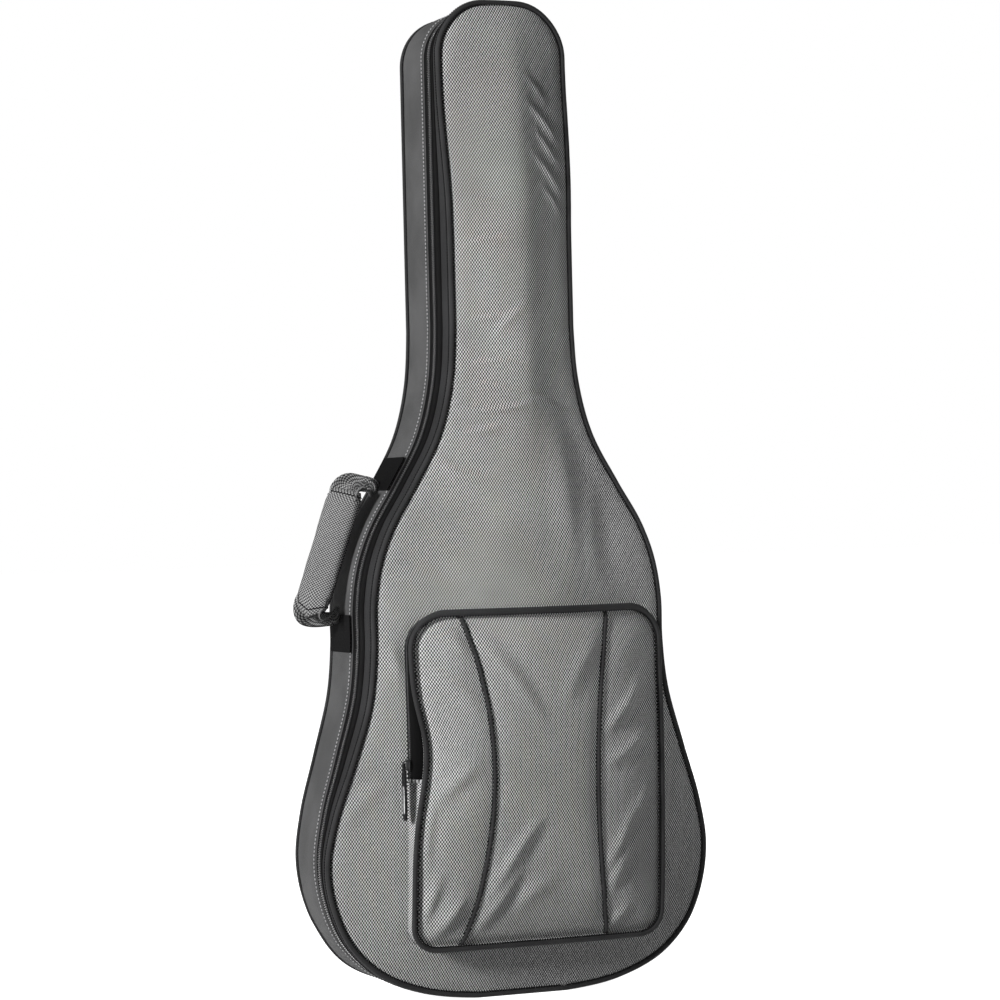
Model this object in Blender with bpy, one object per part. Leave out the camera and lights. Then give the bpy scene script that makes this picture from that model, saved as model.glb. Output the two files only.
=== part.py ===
"""Padded guitar gig bag, upright: +Z up, front towards -Y, origin at the middle of the flat base.

The tub is the back panel and the side gusset, and the lid is the front panel with its pocket.
A zip runs round the bag between them, apart from a fabric hinge at the lower right.
"""

import math

import bmesh
import bpy
from mathutils import Matrix, Vector

# Driving dimensions of the bag, in metres.
LENGTH = 1.060
BASE_HALF = 0.050
NECK_HALF = 0.0715
HEAD_RADIUS = 0.055
# Half of the outline from the flat base to the straight neck: half width and height.
FLANK = (
    (BASE_HALF, 0.000), (0.1125, 0.009), (0.164, 0.031), (0.198, 0.065), (0.216, 0.107),
    (0.2215, 0.150), (0.2125, 0.200), (0.1925, 0.260), (0.1745, 0.320), (0.1685, 0.375),
    (0.168, 0.420), (0.1615, 0.462), (0.1465, 0.502), (0.1195, 0.547), (0.0905, 0.600),
    (0.076, 0.655), (NECK_HALF, 0.715),
)
OUTLINE_STEP = 0.027
HEAD_STEPS = 6

# Layers from the back to the front, as places along Y.
BACK_Y = 0.0665
GUSSET_REAR = 0.059
GUSSET_FRONT = -0.004
ZIP_Y = -0.020
CHAIN_HALF = 0.0047
LID_REAR = -0.033
SEAM_Y = -0.063
GAP = 0.0003
FOAM = 0.010
LINING = 0.0012
TAPE_SKIN = (-0.0040, -0.0015)
CHAIN_SKIN = (-0.0035, 0.0)

# The lower bout: its front seam sits further back, its zip further forward, and its back panel is
# a little narrower.
SEAM_RECESS = 0.013
GUSSET_FORWARD, ZIP_FORWARD, LID_FORWARD = 0.018, 0.013, 0.009
REAR_INSET = 0.008
LOWER_FULL, LOWER_NONE = 0.12, 0.32
# The head: its front seam falls back towards the zip.
HEAD_RECESS = 0.025
HEAD_START, HEAD_END = 0.84, 1.00

CROWN = 0.028
CROWN_RUN = 0.150
PANEL_EDGE = 0.006
PANEL_SET_IN = 0.0064
BACK_SET_IN = 0.0048
PIPING_RADIUS = 0.0030
REAR_PIPING_RADIUS = 0.0022
PIPING_SIDES = 6
PANEL_COLUMNS = 8

# The fabric hinge at the lower right, which the zip leaves out.
HINGE_LOW, HINGE_HIGH = 0.095, 0.215
HINGE_X, HINGE_Y = 0.224, -0.031

# The front pocket.
POCKET_X = 0.008
POCKET_HALF = 0.144
POCKET_LOW, POCKET_HIGH = 0.058, 0.412
POCKET_TOP_RADIUS, POCKET_LOW_RADIUS = 0.038, 0.026
POCKET_DEPTH = 0.018
POCKET_CROWN = 0.008
POCKET_CROWN_RUN = 0.060
POCKET_CLEAR = 0.001
POCKET_SHEET = 0.002
POCKET_ZIP_END = 0.236
POCKET_CHAIN_NEAR, POCKET_CHAIN_MID, POCKET_CHAIN_FAR = 0.0078, 0.0101, 0.0125
STYLE_WAIST, STYLE_FLARE = 0.060, 0.025
STYLE_RADIUS = 0.0020

# The carry handle hangs from two anchors on the left gusset, given as X and Z.
HANDLE_LOW = (-0.1700, 0.412)
HANDLE_HIGH = (-0.1255, 0.540)
HANDLE_Y = 0.022
HANDLE_REACH = 0.043
HANDLE_SPLAY = 0.011
GRIP_WIDTH, GRIP_THICK = 0.045, 0.018

# Backpack straps, right-hand one, as X and Z on the back.
STRAP_TOP, STRAP_END = (0.043, 0.576), (0.088, 0.222)
STRAP_BOW = 0.012
STRAP_ANCHOR = (0.118, 0.120)
STRAP_THICK = 0.009
WEBBING_WIDTH, WEBBING_THICK = 0.025, 0.0016

SLIDER_HIGH_Z = LENGTH - HEAD_RADIUS
SLIDER_LOW_Z = 0.975
SLIDER_LIFT = 0.0006
PIN_HEIGHT = 0.0052
PULL_LENGTH = 0.026
NECK_REST_Z = 0.700
POCKET_PULL_LENGTH = 0.058


def clear_scene():
    for obj in list(bpy.data.objects):
        bpy.data.objects.remove(obj)


def make_material(name, colour, roughness, metallic=0.0):
    material = bpy.data.materials.new(name)
    material.use_nodes = True
    shader = material.node_tree.nodes["Principled BSDF"]
    shader.inputs["Base Color"].default_value = (*colour, 1.0)
    shader.inputs["Roughness"].default_value = roughness
    shader.inputs["Metallic"].default_value = metallic
    return material


def new_object(name, bm, material, pivot=(0.0, 0.0, 0.0), smooth=False):
    """One named node. A moving piece has its origin at pivot, on its joint's axis."""
    bmesh.ops.recalc_face_normals(bm, faces=bm.faces)
    bmesh.ops.translate(bm, verts=bm.verts, vec=-Vector(pivot))
    mesh = bpy.data.meshes.new(name)
    bm.to_mesh(mesh)
    bm.free()
    mesh.materials.append(material)
    if smooth:
        mesh.shade_smooth()
    obj = bpy.data.objects.new(name, mesh)
    obj.location = pivot
    bpy.context.scene.collection.objects.link(obj)
    return obj


# Outlines. A path is a list of (x, z, nx, nz): points with their outward mitred normals.


def ease(t):
    t = min(max(t, 0.0), 1.0)
    return t * t * (3 - 2 * t)


def lower(z):
    """1 at the lower bout and 0 from the waist up."""
    return ease((LOWER_NONE - z) / (LOWER_NONE - LOWER_FULL))


def smooth_run(points, step):
    """Points about step apart on a centripetal Catmull-Rom curve, which starts level and ends upright."""
    first, last = Vector(points[0]), Vector(points[-1])
    knots = [first - Vector((0.03, 0)), *map(Vector, points), last + Vector((0, 0.03))]
    run = []
    for p0, p1, p2, p3 in zip(knots, knots[1:], knots[2:], knots[3:]):
        t1 = (p1 - p0).length ** 0.5
        t2 = t1 + (p2 - p1).length ** 0.5
        t3 = t2 + (p3 - p2).length ** 0.5
        pieces = max(1, round((p2 - p1).length / step))
        for k in range(pieces):
            t = t1 + (t2 - t1) * k / pieces
            a1 = p0.lerp(p1, t / t1)
            a2 = p1.lerp(p2, (t - t1) / (t2 - t1))
            a3 = p2.lerp(p3, (t - t2) / (t3 - t2))
            b1 = a1.lerp(a2, t / t2)
            b2 = a2.lerp(a3, (t - t1) / (t3 - t1))
            run.append(b1.lerp(b2, (t - t1) / (t2 - t1)))
    return [*run, last]


def arc(centre, radius, start, end, steps):
    angles = [math.radians(start + (end - start) * k / steps) for k in range(steps + 1)]
    return [Vector((centre[0] + radius * math.cos(a), centre[1] + radius * math.sin(a))) for a in angles]


def half_outline():
    """The right-hand half of the bag's outline, from the base to the top of the head."""
    centre = (NECK_HALF - HEAD_RADIUS, LENGTH - HEAD_RADIUS)
    return smooth_run(FLANK, OUTLINE_STEP) + arc(centre, HEAD_RADIUS, 0, 90, HEAD_STEPS)


def whole(half):
    """Both halves, anticlockwise as seen from the front."""
    return half + [Vector((-p.x, p.y)) for p in reversed(half)]


def path_of(points, closed=True):
    path = []
    count = len(points)
    for i, p in enumerate(points):
        before = points[i - 1] if closed or i else None
        after = points[(i + 1) % count] if closed or i < count - 1 else None
        sides = [(p - before).normalized()] if before else []
        sides += [(after - p).normalized()] if after else []
        normals = [Vector((s.y, -s.x)) for s in sides]
        mean = sum(normals, Vector((0, 0))).normalized()
        mean /= max(mean.dot(normals[0]), 0.5)
        path.append((p.x, p.y, mean.x, mean.y))
    return path


def shifted(path, amount):
    """The points of a path moved outwards by amount, a number or a function of height."""
    far = amount if callable(amount) else lambda z: amount
    return [Vector((x + nx * far(z), z + nz * far(z))) for x, z, nx, nz in path]


def stretch(points, start, end):
    """The part of a closed loop from arc length start to arc length end, wrapping past its first point."""
    lengths = [(points[(i + 1) % len(points)] - p).length for i, p in enumerate(points)]
    total = sum(lengths)
    end += total if end <= start else 0
    found, here = [], 0.0
    for lap in range(2):
        for i, p in enumerate(points):
            q, length = points[(i + 1) % len(points)], lengths[i]
            if here <= start < here + length:
                found.append(p.lerp(q, (start - here) / length))
            elif start < here < end and found:
                found.append(p)
            if here < end <= here + length and found:
                found.append(p.lerp(q, (end - here) / length))
                return found
            here += length
    return found


def arc_length_at(points, height):
    """Arc length at which the loop first climbs through a height."""
    here = 0.0
    for p, q in zip(points, points[1:]):
        if p.y <= height < q.y:
            return here + (height - p.y) / (q.y - p.y) * (q - p).length
        here += (q - p).length
    return here


# Surfaces of the front, as Y for a place on the bag.


def seam_y(z):
    return SEAM_Y + SEAM_RECESS * lower(z) + HEAD_RECESS * ease((z - HEAD_START) / (HEAD_END - HEAD_START))


def gusset_front(z):
    return GUSSET_FRONT - GUSSET_FORWARD * lower(z)


def zip_y(z):
    return ZIP_Y - ZIP_FORWARD * lower(z)


def lid_rear(z):
    return LID_REAR - LID_FORWARD * lower(z)


def distance_to(loop, x, z):
    """How far a place is from the nearest edge of a closed loop."""
    place = Vector((x, z))
    best = 1.0
    for p, q in zip(loop, loop[1:] + loop[:1]):
        side = q - p
        t = min(max((place - p).dot(side) / side.length_squared, 0.0), 1.0)
        best = min(best, (place - p - side * t).length)
    return best


def swell(distance, run):
    return math.sin(math.pi / 2 * min(distance / run, 1.0))


def front_y(x, z):
    """The outer face of the padded front panel."""
    return seam_y(z) - PANEL_EDGE - CROWN * swell(distance_to(OUTLINE, x, z), CROWN_RUN)


def pocket_y(x, z):
    """The outer face of the pocket."""
    own = POCKET_CROWN * swell(distance_to(POCKET, x, z), POCKET_CROWN_RUN)
    return front_y(x, z) - POCKET_DEPTH - own


def pocket_loop():
    """Rounded rectangle of the pocket, anticlockwise from its lower right corner."""
    left, right = POCKET_X - POCKET_HALF, POCKET_X + POCKET_HALF
    corners = (
        (right, POCKET_LOW, -1, 1, POCKET_LOW_RADIUS, -90),
        (right, POCKET_HIGH, -1, -1, POCKET_TOP_RADIUS, 0),
        (left, POCKET_HIGH, 1, -1, POCKET_TOP_RADIUS, 90),
        (left, POCKET_LOW, 1, 1, POCKET_LOW_RADIUS, 180),
    )
    turns = [
        arc((x + sx * r, z + sz * r), r, start, start + 90, 5) for x, z, sx, sz, r, start in corners
    ]
    loop = []
    for turn, following in zip(turns, turns[1:] + turns[:1]):
        pieces = round((following[0] - turn[-1]).length / 0.045)
        loop += turn + [turn[-1].lerp(following[0], k / pieces) for k in range(1, pieces)]
    top = POCKET_HIGH - POCKET_TOP_RADIUS
    for x, z in ((right, top - 0.002), (left, POCKET_ZIP_END), (left, POCKET_ZIP_END - 0.002)):
        mark = Vector((x, z))
        gaps = [(p - mark).length + (q - mark).length - (q - p).length for p, q in zip(loop, loop[1:])]
        loop.insert(gaps.index(min(gaps)) + 1, mark)
    return loop


OUTLINE = whole(half_outline())
POCKET = pocket_loop()
EDGE = path_of(OUTLINE)
POCKET_EDGE = path_of(POCKET)


# Mesh builders.


def loft(sections, closed=False):
    """A solid through closed sections in turn, joined end to end or capped."""
    bm = bmesh.new()
    rings = [[bm.verts.new(p) for p in section] for section in sections]
    following = rings[1:] + rings[:1] if closed else rings[1:]
    for a, b in zip(rings, following):
        for i in range(len(a)):
            j = (i + 1) % len(a)
            bm.faces.new((a[i], a[j], b[j], b[i]))
    if not closed:
        bm.faces.new(rings[0])
        bm.faces.new(rings[-1])
    return bm


def band(path, profile, closed=True):
    """A solid that carries a profile of (distance out, Y) pairs along a path."""
    shape = profile if callable(profile) else lambda z: profile
    sections = [[(x + nx * d, y, z + nz * d) for d, y in shape(z)] for x, z, nx, nz in path]
    return loft(sections, closed)


def box_profile(skin, rear, front):
    return [(skin[0], rear), (skin[1], rear), (skin[1], front), (skin[0], front)]


def round_profile(distance, y, radius):
    turns = [2 * math.pi * k / PIPING_SIDES for k in range(PIPING_SIDES)]
    return [(distance + radius * math.cos(a), y + radius * math.sin(a)) for a in turns]


def plate(points, rear, front):
    """A flat plate of constant thickness."""
    return loft([[(p.x, y, p.y) for p in points] for y in (rear, front)])


def crowned_sheet(half, rear, front):
    """A sheet in level rows between mirrored edges. rear and front give Y for a place."""
    bm = bmesh.new()
    shares = [2 * k / PANEL_COLUMNS - 1 for k in range(PANEL_COLUMNS + 1)]
    rows = [[(p.x * s, p.y) for s in shares] for p in half]
    faces = [[[bm.verts.new((x, y(x, z), z)) for x, z in row] for row in rows] for y in (front, rear)]
    for grid in faces:
        for a, b in zip(grid, grid[1:]):
            for k in range(PANEL_COLUMNS):
                bm.faces.new((a[k], a[k + 1], b[k + 1], b[k]))
    near, far = faces
    rims = [
        ([row[0] for row in near], [row[0] for row in far]),
        ([row[-1] for row in near], [row[-1] for row in far]),
        (near[0], far[0]),
        (near[-1], far[-1]),
    ]
    for a, b in rims:
        for k in range(len(a) - 1):
            bm.faces.new((a[k], a[k + 1], b[k + 1], b[k]))
    return bm


def block(size, centre, bevel=0.0):
    """A box, with its edges rounded if bevel is given."""
    bm = bmesh.new()
    bmesh.ops.create_cube(bm, size=1.0)
    bmesh.ops.scale(bm, verts=bm.verts, vec=size)
    bmesh.ops.translate(bm, verts=bm.verts, vec=centre)
    if bevel:
        bmesh.ops.bevel(bm, geom=bm.edges[:], offset=bevel, segments=2, affect="EDGES", profile=0.5)
    return bm


def helper(name, bm):
    """A shape that a Boolean uses and that isn't itself a node."""
    bmesh.ops.recalc_face_normals(bm, faces=bm.faces)
    mesh = bpy.data.meshes.new(name)
    bm.to_mesh(mesh)
    bm.free()
    obj = bpy.data.objects.new(name, mesh)
    bpy.context.scene.collection.objects.link(obj)
    obj.hide_render = True
    obj.display_type = "WIRE"
    return obj


def combine(obj, operation, other):
    modifier = obj.modifiers.new(f"{operation} {other.name}", "BOOLEAN")
    modifier.operation = operation
    modifier.solver = "EXACT"
    modifier.object = other
    other.parent = obj.parent
    return obj


# The tub.


def rear_edge(z):
    """How far the rear edge of the gusset stands in from the outline. The base stays flat."""
    return -REAR_INSET * lower(z) * ease((z - 0.012) / 0.060)


def make_back(fabric, lining, piping):
    half = len(EDGE) // 2
    inside = shifted(EDGE, lambda z: rear_edge(z) - BACK_SET_IN)
    new_object("back_panel", plate(inside, BACK_Y, GUSSET_REAR + GAP), fabric)
    lined = shifted(EDGE, lambda z: rear_edge(z) - FOAM - 2 * LINING)
    new_object("back_lining", plate(lined, GUSSET_REAR, GUSSET_REAR - LINING), lining)
    centre = GUSSET_REAR + GAP + REAR_PIPING_RADIUS + 0.0012

    def cord(z):
        return round_profile(rear_edge(z) - REAR_PIPING_RADIUS, centre, REAR_PIPING_RADIUS)

    new_object("rear_piping", band(EDGE, cord), piping, smooth=True)
    return half


def make_gusset(fabric, lining):
    def foam(z):
        rear, front = rear_edge(z), gusset_front(z)
        return [(rear - FOAM, GUSSET_REAR), (rear, GUSSET_REAR), (0.0, front), (-FOAM, front)]

    def skin(z):
        rear = rear_edge(z) - FOAM - GAP
        front, y = -FOAM - GAP, gusset_front(z)
        return [(front - LINING, y), (front, y), (rear, GUSSET_REAR), (rear - LINING, GUSSET_REAR)]

    new_object("side_gusset", band(EDGE, foam), fabric)
    new_object("gusset_lining", band(EDGE, skin), lining)


def zip_stretch(trim):
    """The zip's path: the whole outline apart from the fabric hinge, shortened by trim at each end."""
    low = arc_length_at(OUTLINE, HINGE_LOW)
    high = arc_length_at(OUTLINE, HINGE_HIGH)
    return path_of(stretch(OUTLINE, high + trim, low - trim), closed=False)


def hinge_stretch():
    low = arc_length_at(OUTLINE, HINGE_LOW)
    high = arc_length_at(OUTLINE, HINGE_HIGH)
    return path_of(stretch(OUTLINE, low + GAP, high - GAP), closed=False)


def make_zip(tape, chain, fabric, lid_pivot):
    """Tapes, chain halves, the fabric hinge and the end tabs, on each side of the split."""
    run = zip_stretch(GAP)

    def strip(skin, rear, front):
        return lambda z: box_profile(skin, rear(z), front(z))

    def beside(edge, gap):
        return lambda z: edge(z) + gap

    rear_tape = strip(TAPE_SKIN, beside(gusset_front, -GAP), beside(zip_y, CHAIN_HALF + GAP))
    front_tape = strip(TAPE_SKIN, beside(zip_y, -CHAIN_HALF - GAP), beside(lid_rear, GAP))
    rear_chain = strip(CHAIN_SKIN, beside(zip_y, CHAIN_HALF), beside(zip_y, GAP / 2))
    front_chain = strip(CHAIN_SKIN, beside(zip_y, -GAP / 2), beside(zip_y, -CHAIN_HALF))
    new_object("zip_tape_rear", band(run, rear_tape, False), tape)
    new_object("zip_chain_rear", band(run, rear_chain, False), chain)
    new_object("zip_tape_front", band(run, front_tape, False), tape, lid_pivot)
    new_object("zip_chain_front", band(run, front_chain, False), chain, lid_pivot)
    fold = hinge_stretch()
    rear_fold = strip(TAPE_SKIN, beside(gusset_front, -GAP), beside(zip_y, GAP))
    front_fold = strip(TAPE_SKIN, beside(zip_y, -GAP), beside(lid_rear, GAP))
    new_object("hinge_gusset_rear", band(fold, rear_fold, False), fabric)
    new_object("hinge_gusset_front", band(fold, front_fold, False), fabric, lid_pivot)


def make_zip_ends(webbing):
    """A sewn tab over each end of the main zip, on the gusset."""
    for name, height, way in (("zip_end_tab_upper", HINGE_HIGH, 1), ("zip_end_tab_lower", HINGE_LOW, -1)):
        start = arc_length_at(OUTLINE, height) + (0.004 if way > 0 else -0.024)
        tab = path_of(stretch(OUTLINE, start, start + 0.020), closed=False)
        skin = (CHAIN_SKIN[1] + GAP, CHAIN_SKIN[1] + 0.0015)

        def profile(z):
            return box_profile(skin, gusset_front(z) + 0.008, zip_y(z) + GAP)

        new_object(name, band(tab, profile, False), webbing)


def make_inside(foam, webbing):
    """The neck rest with its two strap halves, and the pad that the guitar's tail stands on."""
    notch = [
        (-0.052, 0.0574), (-0.052, 0.0120), (-0.031, 0.0120), (-0.026, 0.0300),
        (0.026, 0.0300), (0.031, 0.0120), (0.052, 0.0120), (0.052, 0.0574),
    ]
    rest = [[(x, y, z) for x, y in notch] for z in (NECK_REST_Z - 0.035, NECK_REST_Z + 0.035)]
    new_object("neck_rest", loft(rest), foam)
    new_object("tail_pad", block((0.130, 0.048, 0.018), (0, 0.028, 0.0285), 0.004), foam)
    straps = (("neck_strap_loop", -1, 0.0104, 0.066), ("neck_strap_hook", 1, 0.0084, 0.050))
    for name, side, height, reach in straps:
        pivot = (side * 0.050, height, NECK_REST_Z)
        flap = block((reach, 0.0014, 0.038), (side * (0.050 - reach / 2), height, NECK_REST_Z), 0.0004)
        new_object(name, flap, webbing, pivot)


# The lid.


def make_lid(fabric, strip, lining, piping, leather, pivot):
    def foam(z):
        return box_profile((-FOAM, 0.0), lid_rear(z), seam_y(z))

    new_object("lid_gusset", band(EDGE, foam), strip, pivot)

    inside = shifted(EDGE, -PANEL_SET_IN)[: len(EDGE) // 2]
    set_in = shifted(EDGE, -FOAM - 2 * LINING)[: len(EDGE) // 2]

    def inner(x, z):
        """The inner face of the front panel: flat at its rim, then hollowed with the crown."""
        depth = max(distance_to(OUTLINE, x, z) - FOAM, 0.0)
        return seam_y(z) - GAP - CROWN * 0.8 * swell(depth, CROWN_RUN)

    def lining_rear(x, z):
        return inner(x, z) + 2 * LINING

    def lining_front(x, z):
        return inner(x, z) + LINING

    new_object("front_panel", crowned_sheet(inside, inner, front_y), fabric, pivot)
    new_object("front_lining", crowned_sheet(set_in, lining_rear, lining_front), lining, pivot)

    def cord(z):
        return round_profile(-PIPING_RADIUS, seam_y(z) - GAP - PIPING_RADIUS, PIPING_RADIUS)

    new_object("front_piping", band(EDGE, cord), piping, pivot, smooth=True)

    def guard_rear(x, z):
        return lining_rear(x, z) + 0.0030

    def guard_front(x, z):
        return lining_rear(x, z) + 0.0010

    patch = [Vector((0.075, z)) for z in (0.150, 0.1725, 0.195)]
    new_object("bridge_guard", crowned_sheet(patch, guard_rear, guard_front), leather, pivot)


def in_pocket_zip(x, z):
    """True where the zip closes the pocket: up the left side and across the top."""
    left = x < POCKET_X - POCKET_HALF + POCKET_TOP_RADIUS and z > POCKET_ZIP_END - 0.001
    return left or z > POCKET_HIGH - POCKET_TOP_RADIUS - 0.001


def pocket_wall_foot(x, z):
    """Where the pocket's wall starts: on the front panel, or at the chain where there is a zip."""
    far = POCKET_CHAIN_FAR + GAP if in_pocket_zip(x, z) else POCKET_CLEAR
    return front_y(x, z) - far


def pocket_axis_point():
    """A place just past the pocket's lower right corner, on the front panel."""
    reach = POCKET_LOW_RADIUS + 0.002
    x = POCKET_X + POCKET_HALF - POCKET_LOW_RADIUS + reach * POCKET_WAY[0]
    z = POCKET_LOW + POCKET_LOW_RADIUS - reach * POCKET_WAY[1]
    return (x, front_y(x, z) - POCKET_CLEAR, z)


POCKET_SPAN = Vector((2 * POCKET_HALF, POCKET_HIGH - POCKET_LOW))
POCKET_WAY = POCKET_SPAN.normalized()


def make_pocket(fabric, piping, tape, chain, lid_pivot):
    pivot = pocket_axis_point()
    centre = Vector((POCKET_X, (POCKET_LOW + POCKET_HIGH) / 2))

    def ring(inset, share, y):
        points = shifted(POCKET_EDGE, -inset)
        places = [centre + (p - centre) * share for p in points]
        return [(p.x, y(p.x, p.y), p.y) for p in places]

    def sheet(x, z):
        return pocket_y(x, z) + POCKET_SHEET

    def rim(x, z):
        return front_y(x, z) - POCKET_DEPTH

    bm = bmesh.new()
    outer = [(0.0, 1.0, pocket_wall_foot), (0.0, 1.0, rim), (0.0036, 1.0, rim)]
    outer += [(0.0036, share, pocket_y) for share in (0.93, 0.80, 0.55, 0.25)]
    inner = [(0.0042, share, sheet) for share in (0.25, 0.55, 0.80, 0.93)]
    inner += [(POCKET_SHEET, 1.0, pocket_wall_foot)]
    rings = [[bm.verts.new(p) for p in ring(*layer)] for layer in outer + inner]
    for k, (a, b) in enumerate(zip(rings, rings[1:] + rings[:1])):
        if k == len(outer) - 1:
            continue
        for i in range(len(a)):
            j = (i + 1) % len(a)
            bm.faces.new((a[i], a[j], b[j], b[i]))
    bm.faces.new(rings[len(outer) - 1])
    bm.faces.new(rings[len(outer)])
    new_object("pocket_panel", bm, fabric, pivot)

    def along(path, shape, closed):
        sections = [[(x + nx * d, y, z + nz * d) for d, y in shape(x, z)] for x, z, nx, nz in path]
        return loft(sections, closed)

    def cord(x, z):
        return round_profile(0.0, rim(x, z) - PIPING_RADIUS, PIPING_RADIUS - 0.0003)

    new_object("pocket_piping", along(POCKET_EDGE, cord, True), piping, pivot, smooth=True)

    def strip(skin, near, far):
        def shape(x, z):
            return box_profile(skin, front_y(x, z) - near, front_y(x, z) - far)

        return shape

    run = path_of(POCKET_ZIP, closed=False)
    skin = (-POCKET_SHEET, 0.0)
    tape_shape = strip(skin, POCKET_CLEAR, POCKET_CHAIN_NEAR - GAP)
    new_object("pocket_zip_tape", along(run, tape_shape, False), tape, lid_pivot)
    proud = (-POCKET_SHEET, 0.0012)
    near_shape = strip(proud, POCKET_CHAIN_NEAR, POCKET_CHAIN_MID - GAP / 2)
    far_shape = strip(proud, POCKET_CHAIN_MID + GAP / 2, POCKET_CHAIN_FAR)
    new_object("pocket_chain_inner", along(run, near_shape, False), chain, lid_pivot)
    new_object("pocket_chain_outer", along(run, far_shape, False), chain, pivot)

    for name, side in (("style_piping_left", -1), ("style_piping_right", 1)):
        sections = []
        steps = 14
        for k in range(steps + 1):
            share = 2 * k / steps - 1
            z = centre.y + share * (POCKET_SPAN.y / 2 - 0.0060)
            x = POCKET_X + side * (STYLE_WAIST + STYLE_FLARE * share * share)
            y = pocket_y(x, z) - STYLE_RADIUS - 0.0008
            turns = [2 * math.pi * n / PIPING_SIDES for n in range(PIPING_SIDES)]
            sections.append(
                [(x + STYLE_RADIUS * math.cos(a), y + STYLE_RADIUS * math.sin(a), z) for a in turns]
            )
        new_object(name, loft(sections), piping, pivot, smooth=True)
    return pivot


POCKET_ZIP = [p for p in POCKET if in_pocket_zip(p.x, p.y)]


# Sliders and their pulls. Both are built facing +X, with the chain along Z and the pin along Y.


def slider_mesh():
    plate_bm = block((0.0016, 0.0100, 0.0130), (0.0008, 0, 0), 0.0006)
    return plate_bm


def place_of(x, y, z, turn=0.0):
    """Moves a piece built facing +X to a place, turned about Z by an angle in degrees."""
    return Matrix.Translation((x, y, z)) @ Matrix.Rotation(math.radians(turn), 4, "Z")


def make_slider(name, metal, matrix, pivot):
    bm = slider_mesh()
    bm.transform(matrix)
    slider = new_object(name, bm, metal, pivot)
    for side in (-1, 1):
        lug = block((0.0062, 0.0012, 0.0036), (0.0035, side * 0.0032, 0))
        lug.transform(matrix)
        combine(slider, "UNION", helper(f"{name}_lug_{'left' if side < 0 else 'right'}", lug))
    pin = bmesh.new()
    turned = Matrix.Translation((PIN_HEIGHT, 0, 0)) @ Matrix.Rotation(math.pi / 2, 4, "X")
    bmesh.ops.create_cone(
        pin, cap_ends=True, segments=10, radius1=0.0007, radius2=0.0007, depth=0.0060, matrix=turned
    )
    pin.transform(matrix)
    combine(slider, "UNION", helper(f"{name}_pin", pin))
    return slider


def make_pull(name, metal, matrix, length, width):
    """A flat pull that hangs from the slider's pin, with an eye round the pin."""
    thick = 0.0014
    half_eye, half = 0.0018, width / 2
    outline = [
        (-half_eye, 0.0022), (half_eye, 0.0022), (half_eye, -0.0042), (half, -0.0085),
        (half, -length + 0.002), (half * 0.6, -length), (-half * 0.6, -length),
        (-half, -length + 0.002), (-half, -0.0085), (-half_eye, -0.0042),
    ]
    faces = [PIN_HEIGHT - thick, PIN_HEIGHT + thick]
    bm = loft([[(x, y, z) for y, z in outline] for x in faces])
    bm.transform(matrix)
    pivot = matrix @ Vector((PIN_HEIGHT, 0, 0))
    pull = new_object(name, bm, metal, pivot)
    eye = bmesh.new()
    turned = Matrix.Translation((PIN_HEIGHT, 0, 0)) @ Matrix.Rotation(math.pi / 2, 4, "X")
    bmesh.ops.create_cone(
        eye, cap_ends=True, segments=10, radius1=0.0011, radius2=0.0011, depth=0.0080, matrix=turned
    )
    eye.transform(matrix)
    return combine(pull, "DIFFERENCE", helper(f"{name}_eye", eye))


def pocket_slider_place():
    """The pocket slider's rest and the way that it runs, up the left side's chain."""
    x = POCKET_X - POCKET_HALF - 0.0012 - 0.0009
    low, high = POCKET_ZIP_END + 0.018, POCKET_HIGH - POCKET_TOP_RADIUS - 0.004
    edge = POCKET_X - POCKET_HALF
    start = Vector((x, front_y(edge, low) - POCKET_CHAIN_MID, low))
    end = Vector((x, front_y(edge, high) - POCKET_CHAIN_MID, high))
    return start, end


def make_sliders(metal, cord):
    x = NECK_HALF + SLIDER_LIFT
    arc_centre = (NECK_HALF - HEAD_RADIUS, ZIP_Y, LENGTH - HEAD_RADIUS)
    upper = place_of(x, ZIP_Y, SLIDER_HIGH_Z)
    lower_place = place_of(x, ZIP_Y, SLIDER_LOW_Z)
    make_slider("zip_slider_upper", metal, upper, arc_centre)
    make_pull("zip_pull_upper", metal, upper, PULL_LENGTH, 0.0070)
    make_slider("zip_slider_lower", metal, lower_place, (x, ZIP_Y, SLIDER_LOW_Z))
    make_pull("zip_pull_lower", metal, lower_place, PULL_LENGTH, 0.0070)
    start, _ = pocket_slider_place()
    pocket = place_of(*start, 180)
    make_slider("pocket_slider", metal, pocket, start)
    make_pull("pocket_pull", cord, pocket, POCKET_PULL_LENGTH, 0.0100)


# The carry handle.


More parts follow.
